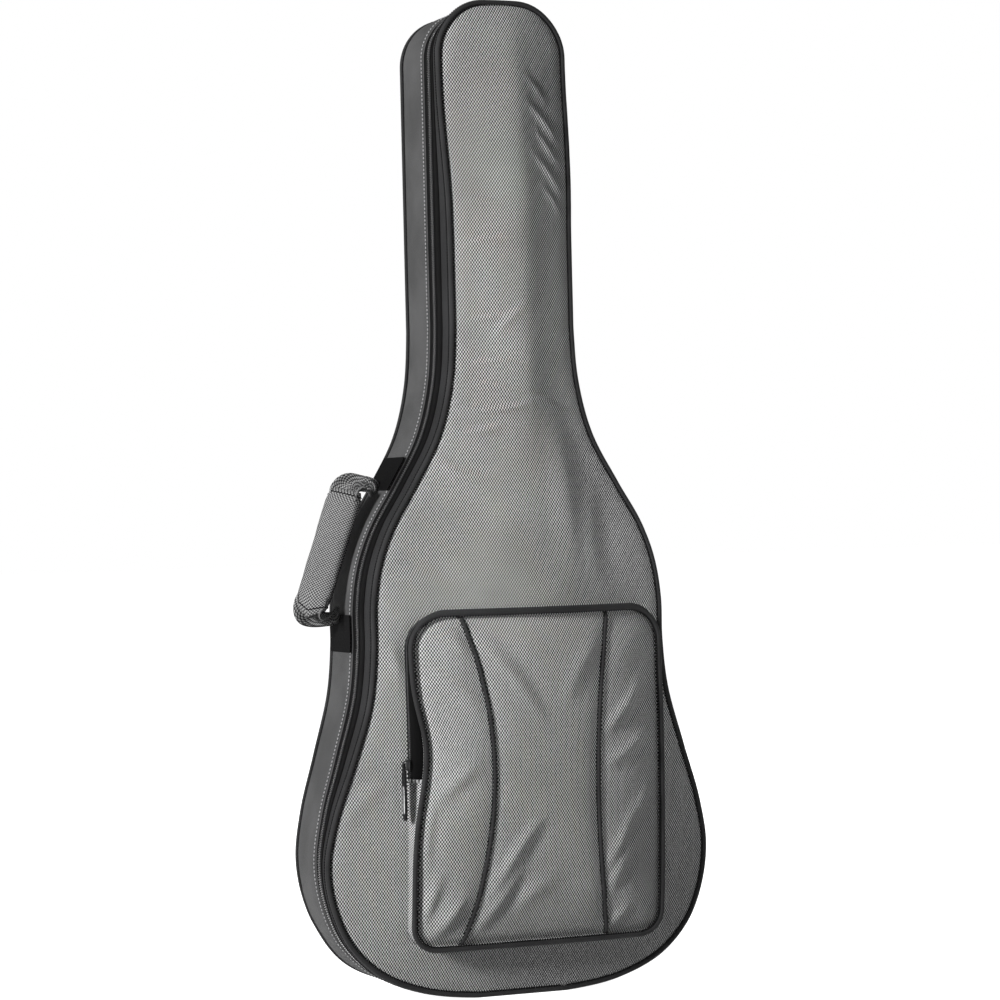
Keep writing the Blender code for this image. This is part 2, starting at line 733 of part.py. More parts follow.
def make_handle(webbing, padding):
    low, high = Vector(HANDLE_LOW), Vector(HANDLE_HIGH)
    up = (high - low).normalized()
    out = Vector((-up.y, up.x))
    length = (high - low).length
    pivot = (low.x, HANDLE_Y, low.y)

    def place(along, off, y):
        p = low + up * along + out * off
        return (p.x, HANDLE_Y + y, p.y)

    root, bend, thick, splay = 0.0040, 0.008, 0.0015, HANDLE_SPLAY
    route = [
        (0, root, 0.0045), (-splay * 0.4, 0.014, 0.0145), (-splay, HANDLE_REACH - bend, 0.0150),
        (bend * 0.3 - splay, HANDLE_REACH - bend * 0.3, 0.0150), (bend - splay, HANDLE_REACH, 0.0150),
    ]
    route += [(length - a, off, half) for a, off, half in reversed(route)]
    sections = []
    for k, (along, off, half) in enumerate(route):
        before, after = route[max(k - 1, 0)], route[min(k + 1, len(route) - 1)]
        way = Vector((after[0] - before[0], after[1] - before[1])).normalized()
        side = Vector((-way.y, way.x)) * thick
        sections.append(
            [
                place(along - side.x, off - side.y, -half), place(along + side.x, off + side.y, -half),
                place(along + side.x, off + side.y, half), place(along - side.x, off - side.y, half),
            ]
        )
    new_object("handle_strap", loft(sections), webbing, pivot)

    ends = 0.011 - HANDLE_SPLAY
    pad = []
    for along, scale in (
        (ends, 0.84), (ends + 0.006, 0.97), (length / 2, 1.0), (length - ends - 0.006, 0.97),
        (length - ends, 0.84),
    ):
        half, deep = GRIP_WIDTH / 2 * scale, GRIP_THICK / 2 * scale
        corner = [(1, 0.45), (0.72, 1), (-0.72, 1), (-1, 0.45), (-1, -0.45), (-0.72, -1), (0.72, -1), (1, -0.45)]
        pad.append([place(along, HANDLE_REACH + deep * v, half * u) for u, v in corner])
    grip = new_object("handle_grip", loft(pad), padding, pivot)
    slot_half, slot_deep = 0.0156, 0.0021
    slot = [
        [place(a, HANDLE_REACH + v * slot_deep, u * slot_half) for u, v in ((1, 1), (-1, 1), (-1, -1), (1, -1))]
        for a in (-0.03, length + 0.03)
    ]
    combine(grip, "DIFFERENCE", helper("handle_grip_slot", loft(slot)))


def make_handle_patches(webbing):
    """Webbing patches sewn over the handle's ends, on the left gusset."""
    total = sum((q - p).length for p, q in zip(OUTLINE, OUTLINE[1:] + OUTLINE[:1]))
    base = 2 * BASE_HALF
    for name, low, high in (("handle_patch_lower", 0.370, 0.408), ("handle_patch_upper", 0.5425, 0.577)):
        first = total - base - arc_length_at(OUTLINE, high)
        last = total - base - arc_length_at(OUTLINE, low)
        patch = path_of(stretch(OUTLINE, first, last), closed=False)
        profile = box_profile((GAP, GAP + 0.0014), GUSSET_REAR - 0.001, GUSSET_FRONT)
        new_object(name, band(patch, profile, False), webbing)


# The back: backpack straps and the hanging loop.


def make_straps(fabric, webbing, plastic):
    skin = BACK_Y + 0.0004
    yoke = [[(x, y, z) for x, z in YOKE] for y in (skin, skin + 0.0020)]
    new_object("strap_yoke", loft(yoke), webbing)
    top, end, anchor = Vector(STRAP_TOP), Vector(STRAP_END), Vector(STRAP_ANCHOR)
    for name, side in (("left", -1), ("right", 1)):
        sections = []
        steps = 10
        for k in range(steps + 1):
            share = k / steps
            bow = STRAP_BOW * math.sin(math.pi * share)
            p = top.lerp(end, share) + Vector((bow, 0))
            half = 0.031 - 0.010 * share * share
            half *= 0.72 if k in (0, steps) else 1.0
            thick = STRAP_THICK * (0.55 if k in (0, steps) else 1.0)
            corner = ((-1, 0.0), (-0.93, 0.85), (-0.6, 1), (0.6, 1), (0.93, 0.85), (1, 0.0))
            sections.append([(side * (p.x + half * u), skin + thick * v, p.y) for u, v in corner])
        new_object(f"strap_pad_{name}", loft(sections), fabric)
        way = (anchor - end).normalized()
        across = Vector((-way.y, way.x)) * WEBBING_WIDTH / 2
        start = end + way * 0.0042
        lift = BACK_Y + 0.0036
        corners = (start - across, start + across, anchor + across, anchor - across)
        run = [[(side * p.x, y, p.y) for p in corners] for y in (lift, lift + WEBBING_THICK)]
        new_object(f"strap_webbing_{name}", loft(run), webbing)
        patch = [anchor + Vector(o) for o in ((-0.020, 0.016), (0.014, 0.020), (0.030, -0.010), (0.006, -0.022))]
        foot = [[(side * p.x, y, p.y) for p in patch] for y in (skin, skin + 0.0024)]
        new_object(f"strap_anchor_{name}", loft(foot), fabric)
        middle = end + way * ADJUSTER_REST
        make_adjuster(f"strap_adjuster_{name}", plastic, side, middle, way, lift + WEBBING_THICK / 2)


YOKE = ((-0.070, 0.577), (0.070, 0.577), (0.062, 0.606), (-0.062, 0.606))
ADJUSTER_REST = 0.022


def make_adjuster(name, plastic, side, middle, way, height):
    """A plastic slider that the strap's webbing passes through."""
    across = Vector((-way.y, way.x))

    def frame(half_way, half_across, half_high):
        corners = ((-1, -1), (-1, 1), (1, 1), (1, -1))
        points = [middle + way * half_way * a + across * half_across * b for a, b in corners]
        levels = (height - half_high, height + half_high)
        return loft([[(side * p.x, y, p.y) for p in points] for y in levels])

    pivot = (side * middle.x, height, middle.y)
    body = new_object(name, frame(0.010, 0.0165, 0.0031), plastic, pivot)
    combine(body, "DIFFERENCE", helper(f"{name}_slot", frame(0.02, 0.0131, 0.0013)))


def make_hang_loop(webbing):
    """A webbing loop that stands off the back of the head, to hang the bag from."""
    half, thick = 0.0125, 0.0020
    route = (
        (0.0005, 0.978), (0.0040, 0.984), (0.0135, 0.998), (0.0160, 1.010), (0.0135, 1.022),
        (0.0040, 1.036), (0.0005, 1.042),
    )
    inner = [(BACK_Y + y, z) for y, z in route]
    sections = []
    for k, (y, z) in enumerate(inner):
        before, after = Vector(inner[max(k - 1, 0)]), Vector(inner[min(k + 1, len(inner) - 1)])
        way = (after - before).normalized()
        outwards = Vector((way.y, -way.x)) * thick
        if k in (0, len(inner) - 1):
            outwards = Vector((thick, 0))
        near, far = (y, z), (y + outwards.x, z + outwards.y)
        sections.append([(-half, *near), (half, *near), (half, *far), (-half, *far)])
    new_object("hang_loop", loft(sections), webbing)


def main():
    clear_scene()
    weave = make_material("two_tone_weave", (0.30, 0.30, 0.31), 0.55)
    side = make_material("side_nylon", (0.13, 0.13, 0.13), 0.60)
    strip = make_material("trim_nylon", (0.045, 0.045, 0.047), 0.55)
    lining = make_material("lining", (0.05, 0.05, 0.052), 0.90)
    piping = make_material("piping", (0.035, 0.035, 0.036), 0.50)
    tape = make_material("zip_tape", (0.012, 0.012, 0.013), 0.80)
    chain = make_material("zip_coil", (0.010, 0.010, 0.011), 0.35)
    webbing = make_material("webbing", (0.012, 0.012, 0.013), 0.75)
    metal = make_material("slider_metal", (0.05, 0.05, 0.052), 0.35, 0.9)
    foam = make_material("foam", (0.06, 0.06, 0.062), 0.95)
    leather = make_material("guard_vinyl", (0.02, 0.02, 0.02), 0.45)
    plastic = make_material("buckle_plastic", (0.02, 0.02, 0.021), 0.40)

    lid_pivot = (HINGE_X, HINGE_Y, 0.0)
    make_back(side, lining, piping)
    make_gusset(side, lining)
    make_zip(tape, chain, side, lid_pivot)
    make_zip_ends(webbing)
    make_inside(foam, webbing)
    make_lid(weave, strip, lining, piping, leather, lid_pivot)
    make_pocket(weave, piping, tape, chain, lid_pivot)
    make_sliders(metal, webbing)
    make_handle(weave, weave)
    make_handle_patches(webbing)
    make_straps(side, webbing, plastic)
    make_hang_loop(webbing)


main()
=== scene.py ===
"""The padded gig bag's looks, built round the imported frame. Metres, +Z up, front towards -Y."""

import math

import bmesh
import bpy
import numpy as np
from mathutils import Matrix, Vector, noise


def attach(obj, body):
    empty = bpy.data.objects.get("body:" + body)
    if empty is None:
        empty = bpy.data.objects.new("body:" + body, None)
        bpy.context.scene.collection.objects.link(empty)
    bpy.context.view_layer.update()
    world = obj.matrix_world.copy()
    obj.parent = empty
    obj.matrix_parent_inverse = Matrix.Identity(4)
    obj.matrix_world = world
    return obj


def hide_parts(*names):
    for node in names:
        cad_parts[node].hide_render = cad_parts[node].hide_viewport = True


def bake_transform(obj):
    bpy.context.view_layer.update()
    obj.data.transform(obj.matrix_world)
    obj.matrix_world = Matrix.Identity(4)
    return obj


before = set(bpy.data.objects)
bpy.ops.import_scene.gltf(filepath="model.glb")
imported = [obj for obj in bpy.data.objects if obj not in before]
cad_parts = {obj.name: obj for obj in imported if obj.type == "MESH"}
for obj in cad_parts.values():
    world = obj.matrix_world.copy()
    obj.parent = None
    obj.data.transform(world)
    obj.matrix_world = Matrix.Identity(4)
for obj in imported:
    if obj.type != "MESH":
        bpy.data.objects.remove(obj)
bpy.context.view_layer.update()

# The bag's sizes, as in the CAD model.
LENGTH = 1.060
BASE_HALF = 0.050
NECK_HALF = 0.0715
HEAD_RADIUS = 0.055
# Half of the outline, from the flat base up to the straight neck: half width and height.
FLANK = (
    (BASE_HALF, 0.000), (0.1125, 0.009), (0.164, 0.031), (0.198, 0.065), (0.216, 0.107),
    (0.2215, 0.150), (0.2125, 0.200), (0.1925, 0.260), (0.1745, 0.320), (0.1685, 0.375),
    (0.168, 0.420), (0.1615, 0.462), (0.1465, 0.502), (0.1195, 0.547), (0.0905, 0.600),
    (0.076, 0.655), (NECK_HALF, 0.715),
)
OUTLINE_STEP = 0.005
HEAD_STEPS = 20
BACK_Y, GUSSET_REAR, GUSSET_FRONT = 0.0665, 0.059, -0.004
ZIP_Y, LID_REAR, SEAM_Y = -0.020, -0.033, -0.063
SEAM_RECESS, REAR_INSET = 0.013, 0.008
GUSSET_FORWARD, ZIP_FORWARD, LID_FORWARD = 0.018, 0.013, 0.009
LOWER_FULL, LOWER_NONE = 0.12, 0.32
HEAD_RECESS, HEAD_START, HEAD_END = 0.014, 0.84, 1.00
HEAD_SPREAD, HEAD_RISE = 0.0035, 0.0050
FOAM, LINING, GAP = 0.010, 0.0012, 0.0003
BACK_INSET = 0.0050
CROWN, CROWN_RUN = 0.028, 0.150
PANEL_EDGE = 0.006
PIPING_RADIUS, REAR_PIPING_RADIUS = 0.0030, 0.0022
HINGE_LOW, HINGE_HIGH = 0.095, 0.215
# Dark dashes laid almost end to end along both sides of the piping: stitching, drawn solid as a painted
# shadow gap beside the cord.
PIPING_STITCH_AND_SHADOW_PITCH, PIPING_STITCH_AND_SHADOW_DASH = 0.0030, (0.0029, 0.0008)
FRONT_FOLD_HEIGHT = 1.3
POCKET_FOLD_HEIGHT, POCKET_FOLD_WIDTH = 1.35, 1.1

POCKET_X, POCKET_HALF = 0.008, 0.144
POCKET_LOW, POCKET_HIGH = 0.058, 0.412
POCKET_TOP_RADIUS, POCKET_LOW_RADIUS = 0.038, 0.026
POCKET_DEPTH = 0.018
POCKET_CROWN, POCKET_CROWN_RUN = 0.008, 0.060
POCKET_ZIP_END = 0.236
POCKET_CHAIN_MID = 0.0101
STYLE_WAIST, STYLE_FLARE, STYLE_RADIUS = 0.060, 0.025, 0.0020

HANDLE_LOW, HANDLE_HIGH = Vector((-0.1700, 0.412)), Vector((-0.1255, 0.540))
HANDLE_Y, HANDLE_REACH = 0.022, 0.034
HANDLE_PATCHES = (("lower", 0.370, 0.408), ("upper", 0.5425, 0.577))  # their lowest and highest Z
GRIP_START, GRIP_STOP = -0.005, 0.0075  # short of the handle's lower and upper ends
GRIP_HALF, GRIP_DEEP = 0.0205, 0.0080
GRIP_TURN = math.radians(42)  # how far the slack grip lies over towards the front
SLIDER_HIGH_Z, SLIDER_LOW_Z = LENGTH - HEAD_RADIUS, 0.975
SLIDER_LIFT, PIN_HEIGHT = 0.0006, 0.0052

STRAP_TOP, STRAP_END = Vector((0.043, 0.576)), Vector((0.088, 0.222))
STRAP_BOW, STRAP_THICK = 0.012, 0.009
STRAP_ANCHOR = Vector((0.118, 0.120))
YOKE_Z = 0.5915
WEBBING_WIDTH, WEBBING_THICK = 0.025, 0.0016
ADJUSTER_REST = 0.022
# Each bar: its reach along the strap, across it and up from it.
ADJUSTER_BARS = (
    (-0.010, 0.010, -0.0165, -0.0134, -0.0024, 0.0031),
    (-0.010, 0.010, 0.0134, 0.0165, -0.0024, 0.0031),
    (-0.010, -0.0065, -0.0136, 0.0136, 0.0014, 0.0031),
    (-0.0018, 0.0018, -0.0136, 0.0136, 0.0014, 0.0030),
    (0.0065, 0.010, -0.0136, 0.0136, 0.0014, 0.0031),
    (-0.0030, 0.0030, -0.0136, 0.0136, -0.0026, -0.0013),
)
NECK_REST_Z = 0.700


# ---- outlines --------------------------------------------------------------------------------


def ease(t):
    t = np.clip(t, 0.0, 1.0)
    return t * t * (3 - 2 * t)


def lower(z):
    return ease((LOWER_NONE - z) / (LOWER_NONE - LOWER_FULL))


def seam_y(z):
    return SEAM_Y + SEAM_RECESS * lower(z) + HEAD_RECESS * ease((z - HEAD_START) / (HEAD_END - HEAD_START))


def gusset_front(z):
    return GUSSET_FRONT - GUSSET_FORWARD * lower(z)


def zip_y(z):
    return ZIP_Y - ZIP_FORWARD * lower(z)


def lid_rear(z):
    return LID_REAR - LID_FORWARD * lower(z)


def rear_edge(z):
    return -REAR_INSET * lower(z) * ease((z - 0.012) / 0.060)


def smooth_run(points, step):
    """Centripetal Catmull-Rom points, about step apart."""
    first, last = Vector(points[0]), Vector(points[-1])
    knots = [first - Vector((0.03, 0)), *map(Vector, points), last + Vector((0, 0.03))]
    run = []
    for p0, p1, p2, p3 in zip(knots, knots[1:], knots[2:], knots[3:]):
        t1 = (p1 - p0).length ** 0.5
        t2 = t1 + (p2 - p1).length ** 0.5
        t3 = t2 + (p3 - p2).length ** 0.5
        pieces = max(1, round((p2 - p1).length / step))
        for k in range(pieces):
            t = t1 + (t2 - t1) * k / pieces
            a1, a2 = p0.lerp(p1, t / t1), p1.lerp(p2, (t - t1) / (t2 - t1))
            a3 = p2.lerp(p3, (t - t2) / (t3 - t2))
            b1, b2 = a1.lerp(a2, t / t2), a2.lerp(a3, (t - t1) / (t3 - t1))
            run.append(b1.lerp(b2, (t - t1) / (t2 - t1)))
    return [*run, last]


def arc(centre, radius, start, end, steps):
    angles = [math.radians(start + (end - start) * k / steps) for k in range(steps + 1)]
    return [Vector((centre[0] + radius * math.cos(a), centre[1] + radius * math.sin(a))) for a in angles]


def straight(p, q, step):
    """Points between p and q, without either."""
    pieces = max(1, round((q - p).length / step))
    return [p.lerp(q, k / pieces) for k in range(1, pieces)]


def half_outline():
    run = smooth_run(FLANK, OUTLINE_STEP)
    turn = arc((NECK_HALF - HEAD_RADIUS, LENGTH - HEAD_RADIUS), HEAD_RADIUS, 0, 90, HEAD_STEPS)
    return run + straight(run[-1], turn[0], OUTLINE_STEP) + turn


def whole(half):
    left = [Vector((-p.x, p.y)) for p in reversed(half)]
    top = straight(half[-1], left[0], OUTLINE_STEP)
    base = straight(left[-1], half[0], OUTLINE_STEP)
    return half + top + left + base


def stuffed(p):
    """The outline at the lid's front, where the head is filled out a little and arched."""
    full = float(ease((p.y - 0.80) / 0.16))
    top = float(ease((p.y - (LENGTH - HEAD_RADIUS)) / HEAD_RADIUS))
    x = p.x + HEAD_SPREAD * full * max(min(p.x / 0.02, 1.0), -1.0)
    return Vector((x, p.y + HEAD_RISE * top * (1 - (p.x / NECK_HALF) ** 2)))


class Path:
    """A run of points in X and Z with their outward normals and arc lengths."""

    def __init__(self, points, closed=True):
        self.p = np.array([tuple(p) for p in points])
        self.closed = closed
        if closed:
            ahead, behind = np.roll(self.p, -1, 0), np.roll(self.p, 1, 0)
        else:
            ahead = np.vstack([self.p[1:], 2 * self.p[-1] - self.p[-2]])
            behind = np.vstack([2 * self.p[0] - self.p[1], self.p[:-1]])
        self.t = ahead - behind
        self.t /= np.linalg.norm(self.t, axis=1)[:, None]
        self.n = np.stack([self.t[:, 1], -self.t[:, 0]], 1)
        gaps = np.linalg.norm(np.diff(self.p, axis=0), axis=1)
        self.s = np.concatenate([[0.0], np.cumsum(gaps)])

    def at(self, s):
        """Place, tangent and normal at arc lengths s."""
        s = np.asarray(s, float)
        place = np.stack([np.interp(s, self.s, self.p[:, k]) for k in (0, 1)], -1)
        t = np.stack([np.interp(s, self.s, self.t[:, k]) for k in (0, 1)], -1)
        t /= np.linalg.norm(t, axis=-1)[..., None]
        return place, t, np.stack([t[..., 1], -t[..., 0]], -1)

    def part(self, low, high, step=OUTLINE_STEP):
        count = max(2, round((high - low) / step) + 1)
        place, _, _ = self.at(np.linspace(low, high, count))
        return Path(place, closed=False)

    def s_at(self, height, side=1):
        """Arc length where the path passes a height on its right (side 1) or left (side -1)."""
        here = np.where((self.p[:, 0] * side > 0))[0]
        return self.s[here[np.argmin(abs(self.p[here, 1] - height))]]


HALF = half_outline()
EDGE = Path(whole(HALF))
FRONT_HALF = [stuffed(p) for p in HALF]
FRONT = Path([stuffed(p) for p in whole(HALF)])
# The same loop, started at the hinge, so that the zip is one stretch of it.
HINGE_FIRST, HINGE_LAST = EDGE.s_at(HINGE_LOW), EDGE.s_at(HINGE_HIGH)
START = int(np.searchsorted(EDGE.s, HINGE_LAST))
ZIP_LOOP = Path(np.vstack([np.roll(EDGE.p, -START, 0), EDGE.p[START]]), closed=False)
ZIP_LENGTH = ZIP_LOOP.s[-1] - (HINGE_LAST - HINGE_FIRST)


def segment_distance(points, loop):
    """Distance from each point to a closed loop, by the nearest of its segments."""
    a, b = loop, np.roll(loop, -1, 0)
    side = b - a
    length2 = (side**2).sum(1)
    best = np.full(len(points), 1.0)
    for start in range(0, len(points), 4000):
        q = points[start : start + 4000, None, :] - a[None]
        t = np.clip((q * side).sum(2) / length2, 0, 1)
        gap = np.linalg.norm(q - side * t[..., None], axis=2)
        best[start : start + 4000] = gap.min(1)
    return best


SOFT = 46.0  # per metre: how sharply the crown's ridge is drawn


def soft_distance(points, loop):
    """Distance to a loop without the ridges of the true distance, so that a pad's crown is smooth."""
    step = np.linalg.norm(np.roll(loop, -1, 0) - loop, axis=1)
    out = np.empty(len(points))
    for start in range(0, len(points), 4000):
        gap = np.linalg.norm(points[start : start + 4000, None, :] - loop[None], axis=2)
        out[start : start + 4000] = (np.exp(-SOFT * gap) * step).sum(1)
    return np.maximum(-np.log(out * SOFT / 2) / SOFT, 0.0)


# ---- relief: folds and undulation ------------------------------------------------------------


def undulation(points, size, seed):
    """Soft noise between -1 and 1, one value a point. size is its wavelength in metres."""
    shift = Vector((seed * 7.31, seed * 3.17, seed * 1.93))
    if points.shape[1] == 2:
        points = np.c_[points, np.zeros(len(points))]
    return np.array([noise.noise(Vector(p) / size + shift) for p in points])


def fold(points, start, end, width, height, bend=0.0):
    """A crease raised along the line from start to end, fading out at both ends."""
    a, b = np.array(start), np.array(end)
    way = (b - a) / np.linalg.norm(b - a)
    across = np.array([-way[1], way[0]])
    q = points - a
    along = (q @ way) / np.linalg.norm(b - a)
    off = q @ across - bend * 4 * along * (1 - along)
    shape = np.exp(-((off / width) ** 2)) - 0.45 * np.exp(-(((off - 1.6 * width) / (1.2 * width)) ** 2))
    inside = (along > 0) & (along < 1)
    return height * shape * np.where(inside, np.sin(math.pi * np.clip(along, 0, 1)) ** 1.3, 0.0)


# Each fold: its start and end in X and Z, width, height and bend.
FRONT_FOLDS = (
    ((0.016, 0.958), (0.063, 0.906), 0.0040, 0.0030, 0.003),
    ((0.028, 0.928), (0.065, 0.884), 0.0034, 0.0022, -0.002),
    ((0.018, 0.904), (0.063, 0.852), 0.0040, 0.0027, 0.003),
    ((0.030, 0.868), (0.064, 0.826), 0.0036, 0.0019, 0.002),
    ((0.012, 0.990), (0.050, 0.952), 0.0040, 0.0016, 0.002),
    ((-0.062, 0.806), (-0.004, 0.812), 0.0030, 0.0018, -0.003),
    ((-0.060, 0.848), (-0.016, 0.842), 0.0034, 0.0014, 0.003),
    ((-0.064, 0.716), (0.000, 0.722), 0.0030, 0.0018, 0.004),
    ((-0.060, 0.674), (0.014, 0.668), 0.0034, 0.0022, 0.005),
    ((-0.058, 0.652), (0.002, 0.641), 0.0032, 0.0019, 0.004),
    ((-0.064, 0.628), (0.020, 0.635), 0.0036, 0.0026, -0.006),
    ((0.006, 0.637), (0.054, 0.622), 0.0032, 0.0024, 0.004),
    ((-0.074, 0.604), (-0.016, 0.612), 0.0040, 0.0022, -0.006),
    ((-0.094, 0.576), (-0.026, 0.556), 0.0055, 0.0027, -0.010),
    ((-0.028, 0.700), (0.014, 0.740), 0.0045, 0.0016, 0.003),
    ((0.036, 0.640), (0.054, 0.424), 0.0170, 0.0036, 0.006),
    ((0.086, 0.566), (0.086, 0.428), 0.0120, 0.0024, -0.006),
    ((-0.150, 0.452), (-0.080, 0.430), 0.0090, 0.0022, 0.006),
    ((-0.160, 0.385), (-0.135, 0.330), 0.0080, 0.0020, 0.004),
    ((-0.205, 0.190), (-0.150, 0.240), 0.0100, 0.0022, 0.006),
    ((-0.150, 0.060), (-0.060, 0.038), 0.0080, 0.0020, 0.004),
    ((0.190, 0.110), (0.158, 0.190), 0.0100, 0.0022, 0.006),
)
ROOF, ROOF_X, ROOF_RUN, ROOF_ROUND = 0.0095, 0.010, 0.036, 0.007


def roof(points):
    """The soft ridge down the neck, where the panel is drawn over what is inside."""
    off = np.hypot(points[:, 0] - ROOF_X, ROOF_ROUND)
    return ROOF * np.exp(-off / ROOF_RUN) * ease((points[:, 1] - 0.50) / 0.16)


def front_relief(points):
    total = 0.0010 * undulation(points, 0.085, 1)
    total += 0.0005 * undulation(points, 0.032, 2)
    for start, end, width, height, bend in FRONT_FOLDS:
        total += FRONT_FOLD_HEIGHT * fold(points, start, end, width, height, bend)
    return total


def front_base(points):
    """The padded front panel's face as Y, without its folds."""
    crown = np.sin(math.pi / 2 * np.minimum(soft_distance(points, FRONT.p) / CROWN_RUN, 1.0))
    return seam_y(points[:, 1]) - PANEL_EDGE - CROWN * crown - roof(points) * crown ** 0.3


def front_face(points):
    d = segment_distance(points, FRONT.p)
    rise = 1 - np.sqrt(1 - (1 - np.clip((d - 0.004) / 0.016, 0, 1)) ** 2 * 0.999)
    return front_base(points) + (PANEL_EDGE - 0.0022) * rise - front_relief(points) * ease(d / 0.03)


def pocket_distance(points):
    """Distance inwards from the pocket's rounded rectangle."""
    centre = np.array([POCKET_X, (POCKET_LOW + POCKET_HIGH) / 2])
    half = np.array([POCKET_HALF, (POCKET_HIGH - POCKET_LOW) / 2])
    q = points - centre
    radius = np.where(q[:, 1] > 0, POCKET_TOP_RADIUS, POCKET_LOW_RADIUS)
    r = np.abs(q) - half + radius[:, None]
    outside = np.linalg.norm(np.maximum(r, 0), axis=1)
    return radius - outside - np.minimum(r.max(1), 0.0)


def style_x(z, side):
    """How far a style line is from the pocket's middle, on its left (-1) or right (1)."""
    share = (z - (POCKET_LOW + POCKET_HIGH) / 2) / ((POCKET_HIGH - POCKET_LOW) / 2)
    return STYLE_WAIST + (STYLE_FLARE - 0.007 * side) * share * share


POCKET_FOLDS = (
    ((-0.070, 0.388), (0.008, 0.286), 0.0075, 0.0026, 0.004),
    ((-0.100, 0.392), (-0.076, 0.362), 0.0050, 0.0020, 0.002),
    ((-0.120, 0.350), (-0.062, 0.298), 0.0090, 0.0020, 0.006),
    ((-0.122, 0.222), (-0.125, 0.132), 0.0055, 0.0030, -0.003),
    ((-0.108, 0.146), (-0.136, 0.078), 0.0055, 0.0026, 0.003),
    ((-0.066, 0.256), (-0.122, 0.212), 0.0080, 0.0024, -0.004),
    ((0.012, 0.206), (-0.060, 0.100), 0.0070, 0.0028, -0.005),
    ((-0.014, 0.156), (-0.076, 0.068), 0.0060, 0.0024, 0.004),
    ((-0.082, 0.120), (-0.116, 0.068), 0.0055, 0.0024, 0.003),
    ((-0.030, 0.094), (0.026, 0.132), 0.0080, 0.0018, 0.004),
    ((0.078, 0.390), (0.024, 0.306), 0.0090, 0.0018, -0.005),
    ((0.132, 0.346), (0.072, 0.276), 0.0060, 0.0034, 0.004),
    ((0.140, 0.285), (0.074, 0.244), 0.0065, 0.0030, 0.003),
    ((0.112, 0.198), (0.074, 0.128), 0.0055, 0.0030, 0.003),
    ((0.126, 0.182), (0.080, 0.100), 0.0055, 0.0032, -0.003),
    ((0.112, 0.098), (0.082, 0.066), 0.0045, 0.0024, 0.002),
    ((0.138, 0.228), (0.100, 0.176), 0.0070, 0.0024, 0.003),
)
SLACK_DEEP, SLACK_Z, SLACK_ABOVE, SLACK_BELOW = 0.0140, 0.266, 0.050, 0.066


def slack(points):
    """How far the pocket's left edge leans in below the end of its zip."""
    left = np.clip((POCKET_X - points[:, 0]) / POCKET_HALF, 0.0, 1.0)
    off = points[:, 1] - SLACK_Z
    run = np.where(off > 0, SLACK_ABOVE, SLACK_BELOW)
    return SLACK_DEEP * np.exp(-((off / run) ** 2)) * left**2


def pocket_face(points):
    """The pocket's outer face as Y, quilted down at its two style lines."""
    d = pocket_distance(points)
    own = POCKET_CROWN * np.sin(math.pi / 2 * np.clip(d / POCKET_CROWN_RUN, 0, 1))
    own -= 0.0025 * np.exp(-(((d - 0.004) / 0.006) ** 2))
    for side in (-1, 1):
        off = np.abs(points[:, 0] - POCKET_X - side * style_x(points[:, 1], side))
        own -= 0.0034 * np.exp(-((off / 0.011) ** 1.2)) * ease(d / 0.03)
    relief = 0.0012 * undulation(points, 0.060, 5)
    for start, end, width, height, bend in POCKET_FOLDS:
        relief += POCKET_FOLD_HEIGHT * fold(points, start, end, POCKET_FOLD_WIDTH * width, height, bend)
    return front_base(points) - POCKET_DEPTH - own - relief * ease(d / 0.022)


# ---- meshes ----------------------------------------------------------------------------------


def grid_faces(rows, columns, wrap_rows=False, wrap_columns=False, first=0):
    faces = []
    for i in range(rows if wrap_rows else rows - 1):
        for j in range(columns if wrap_columns else columns - 1):
            k, m = (i + 1) % rows, (j + 1) % columns
            faces.append((i * columns + j, i * columns + m, k * columns + m, k * columns + j))
    return [tuple(v + first for v in f) for f in faces]


class Shape:
    """Vertices, faces and texture places in metres, gathered into one mesh."""

    def __init__(self):
        self.v, self.f, self.uv = [], [], []

    def add(self, verts, faces, uvs):
        first = len(self.v)
        self.v += [tuple(p) for p in verts]
        self.uv += [tuple(p) for p in uvs]
        self.f += [tuple(i + first for i in f) for f in faces]
        return first

    def rings(self, rings, closed=False, length=None):
        """A skin through equal rings of points, capped unless it closes on itself."""
        rows, columns = len(rings), len(rings[0])
        if length is None:
            middles = np.array([np.mean(np.array(r), 0) for r in rings])
            length = np.concatenate([[0], np.cumsum(np.linalg.norm(np.diff(middles, axis=0), axis=1))])
        uvs = []
        for ring, s in zip(rings, length):
            ring = np.array(ring)
            girth = np.concatenate([[0], np.cumsum(np.linalg.norm(np.diff(ring, axis=0), axis=1))])
            uvs += [(s, g) for g in girth]
        faces = grid_faces(rows, columns, closed, True)
        if not closed:
            faces += [tuple(range(columns)), tuple(range((rows - 1) * columns, rows * columns))]
        self.add([p for ring in rings for p in ring], faces, uvs)


def build(name, shape, material, body, replaces=(), smooth=True, bevel=0.0, subdivide=0):
    """One finished piece: its mesh, material, body and the CAD nodes that it stands for."""
    mesh = bpy.data.meshes.new(name)
    mesh.from_pydata(shape.v, [], shape.f)
    layer = mesh.uv_layers.new(name="UVMap")
    flat = np.array(shape.uv)[[loop.vertex_index for loop in mesh.loops]]
    layer.data.foreach_set("uv", flat.astype(np.float32).ravel())
    mesh.validate()
    obj = bpy.data.objects.new(name, mesh)
    bpy.context.scene.collection.objects.link(obj)
    mesh.materials.append(material)
    recalculate(mesh)
    mesh.polygons.foreach_set("use_smooth", [smooth] * len(mesh.polygons))
    if bevel:
        modifier = obj.modifiers.new("edges", "BEVEL")
        modifier.width, modifier.segments, modifier.limit_method = bevel, 2, "ANGLE"
        modifier.harden_normals = True
    if subdivide:
        modifier = obj.modifiers.new("smooth", "SUBSURF")
        modifier.levels = modifier.render_levels = subdivide
    if isinstance(body, str):
        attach(obj, body)
    else:
        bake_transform(obj)
    if replaces:
        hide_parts(*replaces)
    return obj


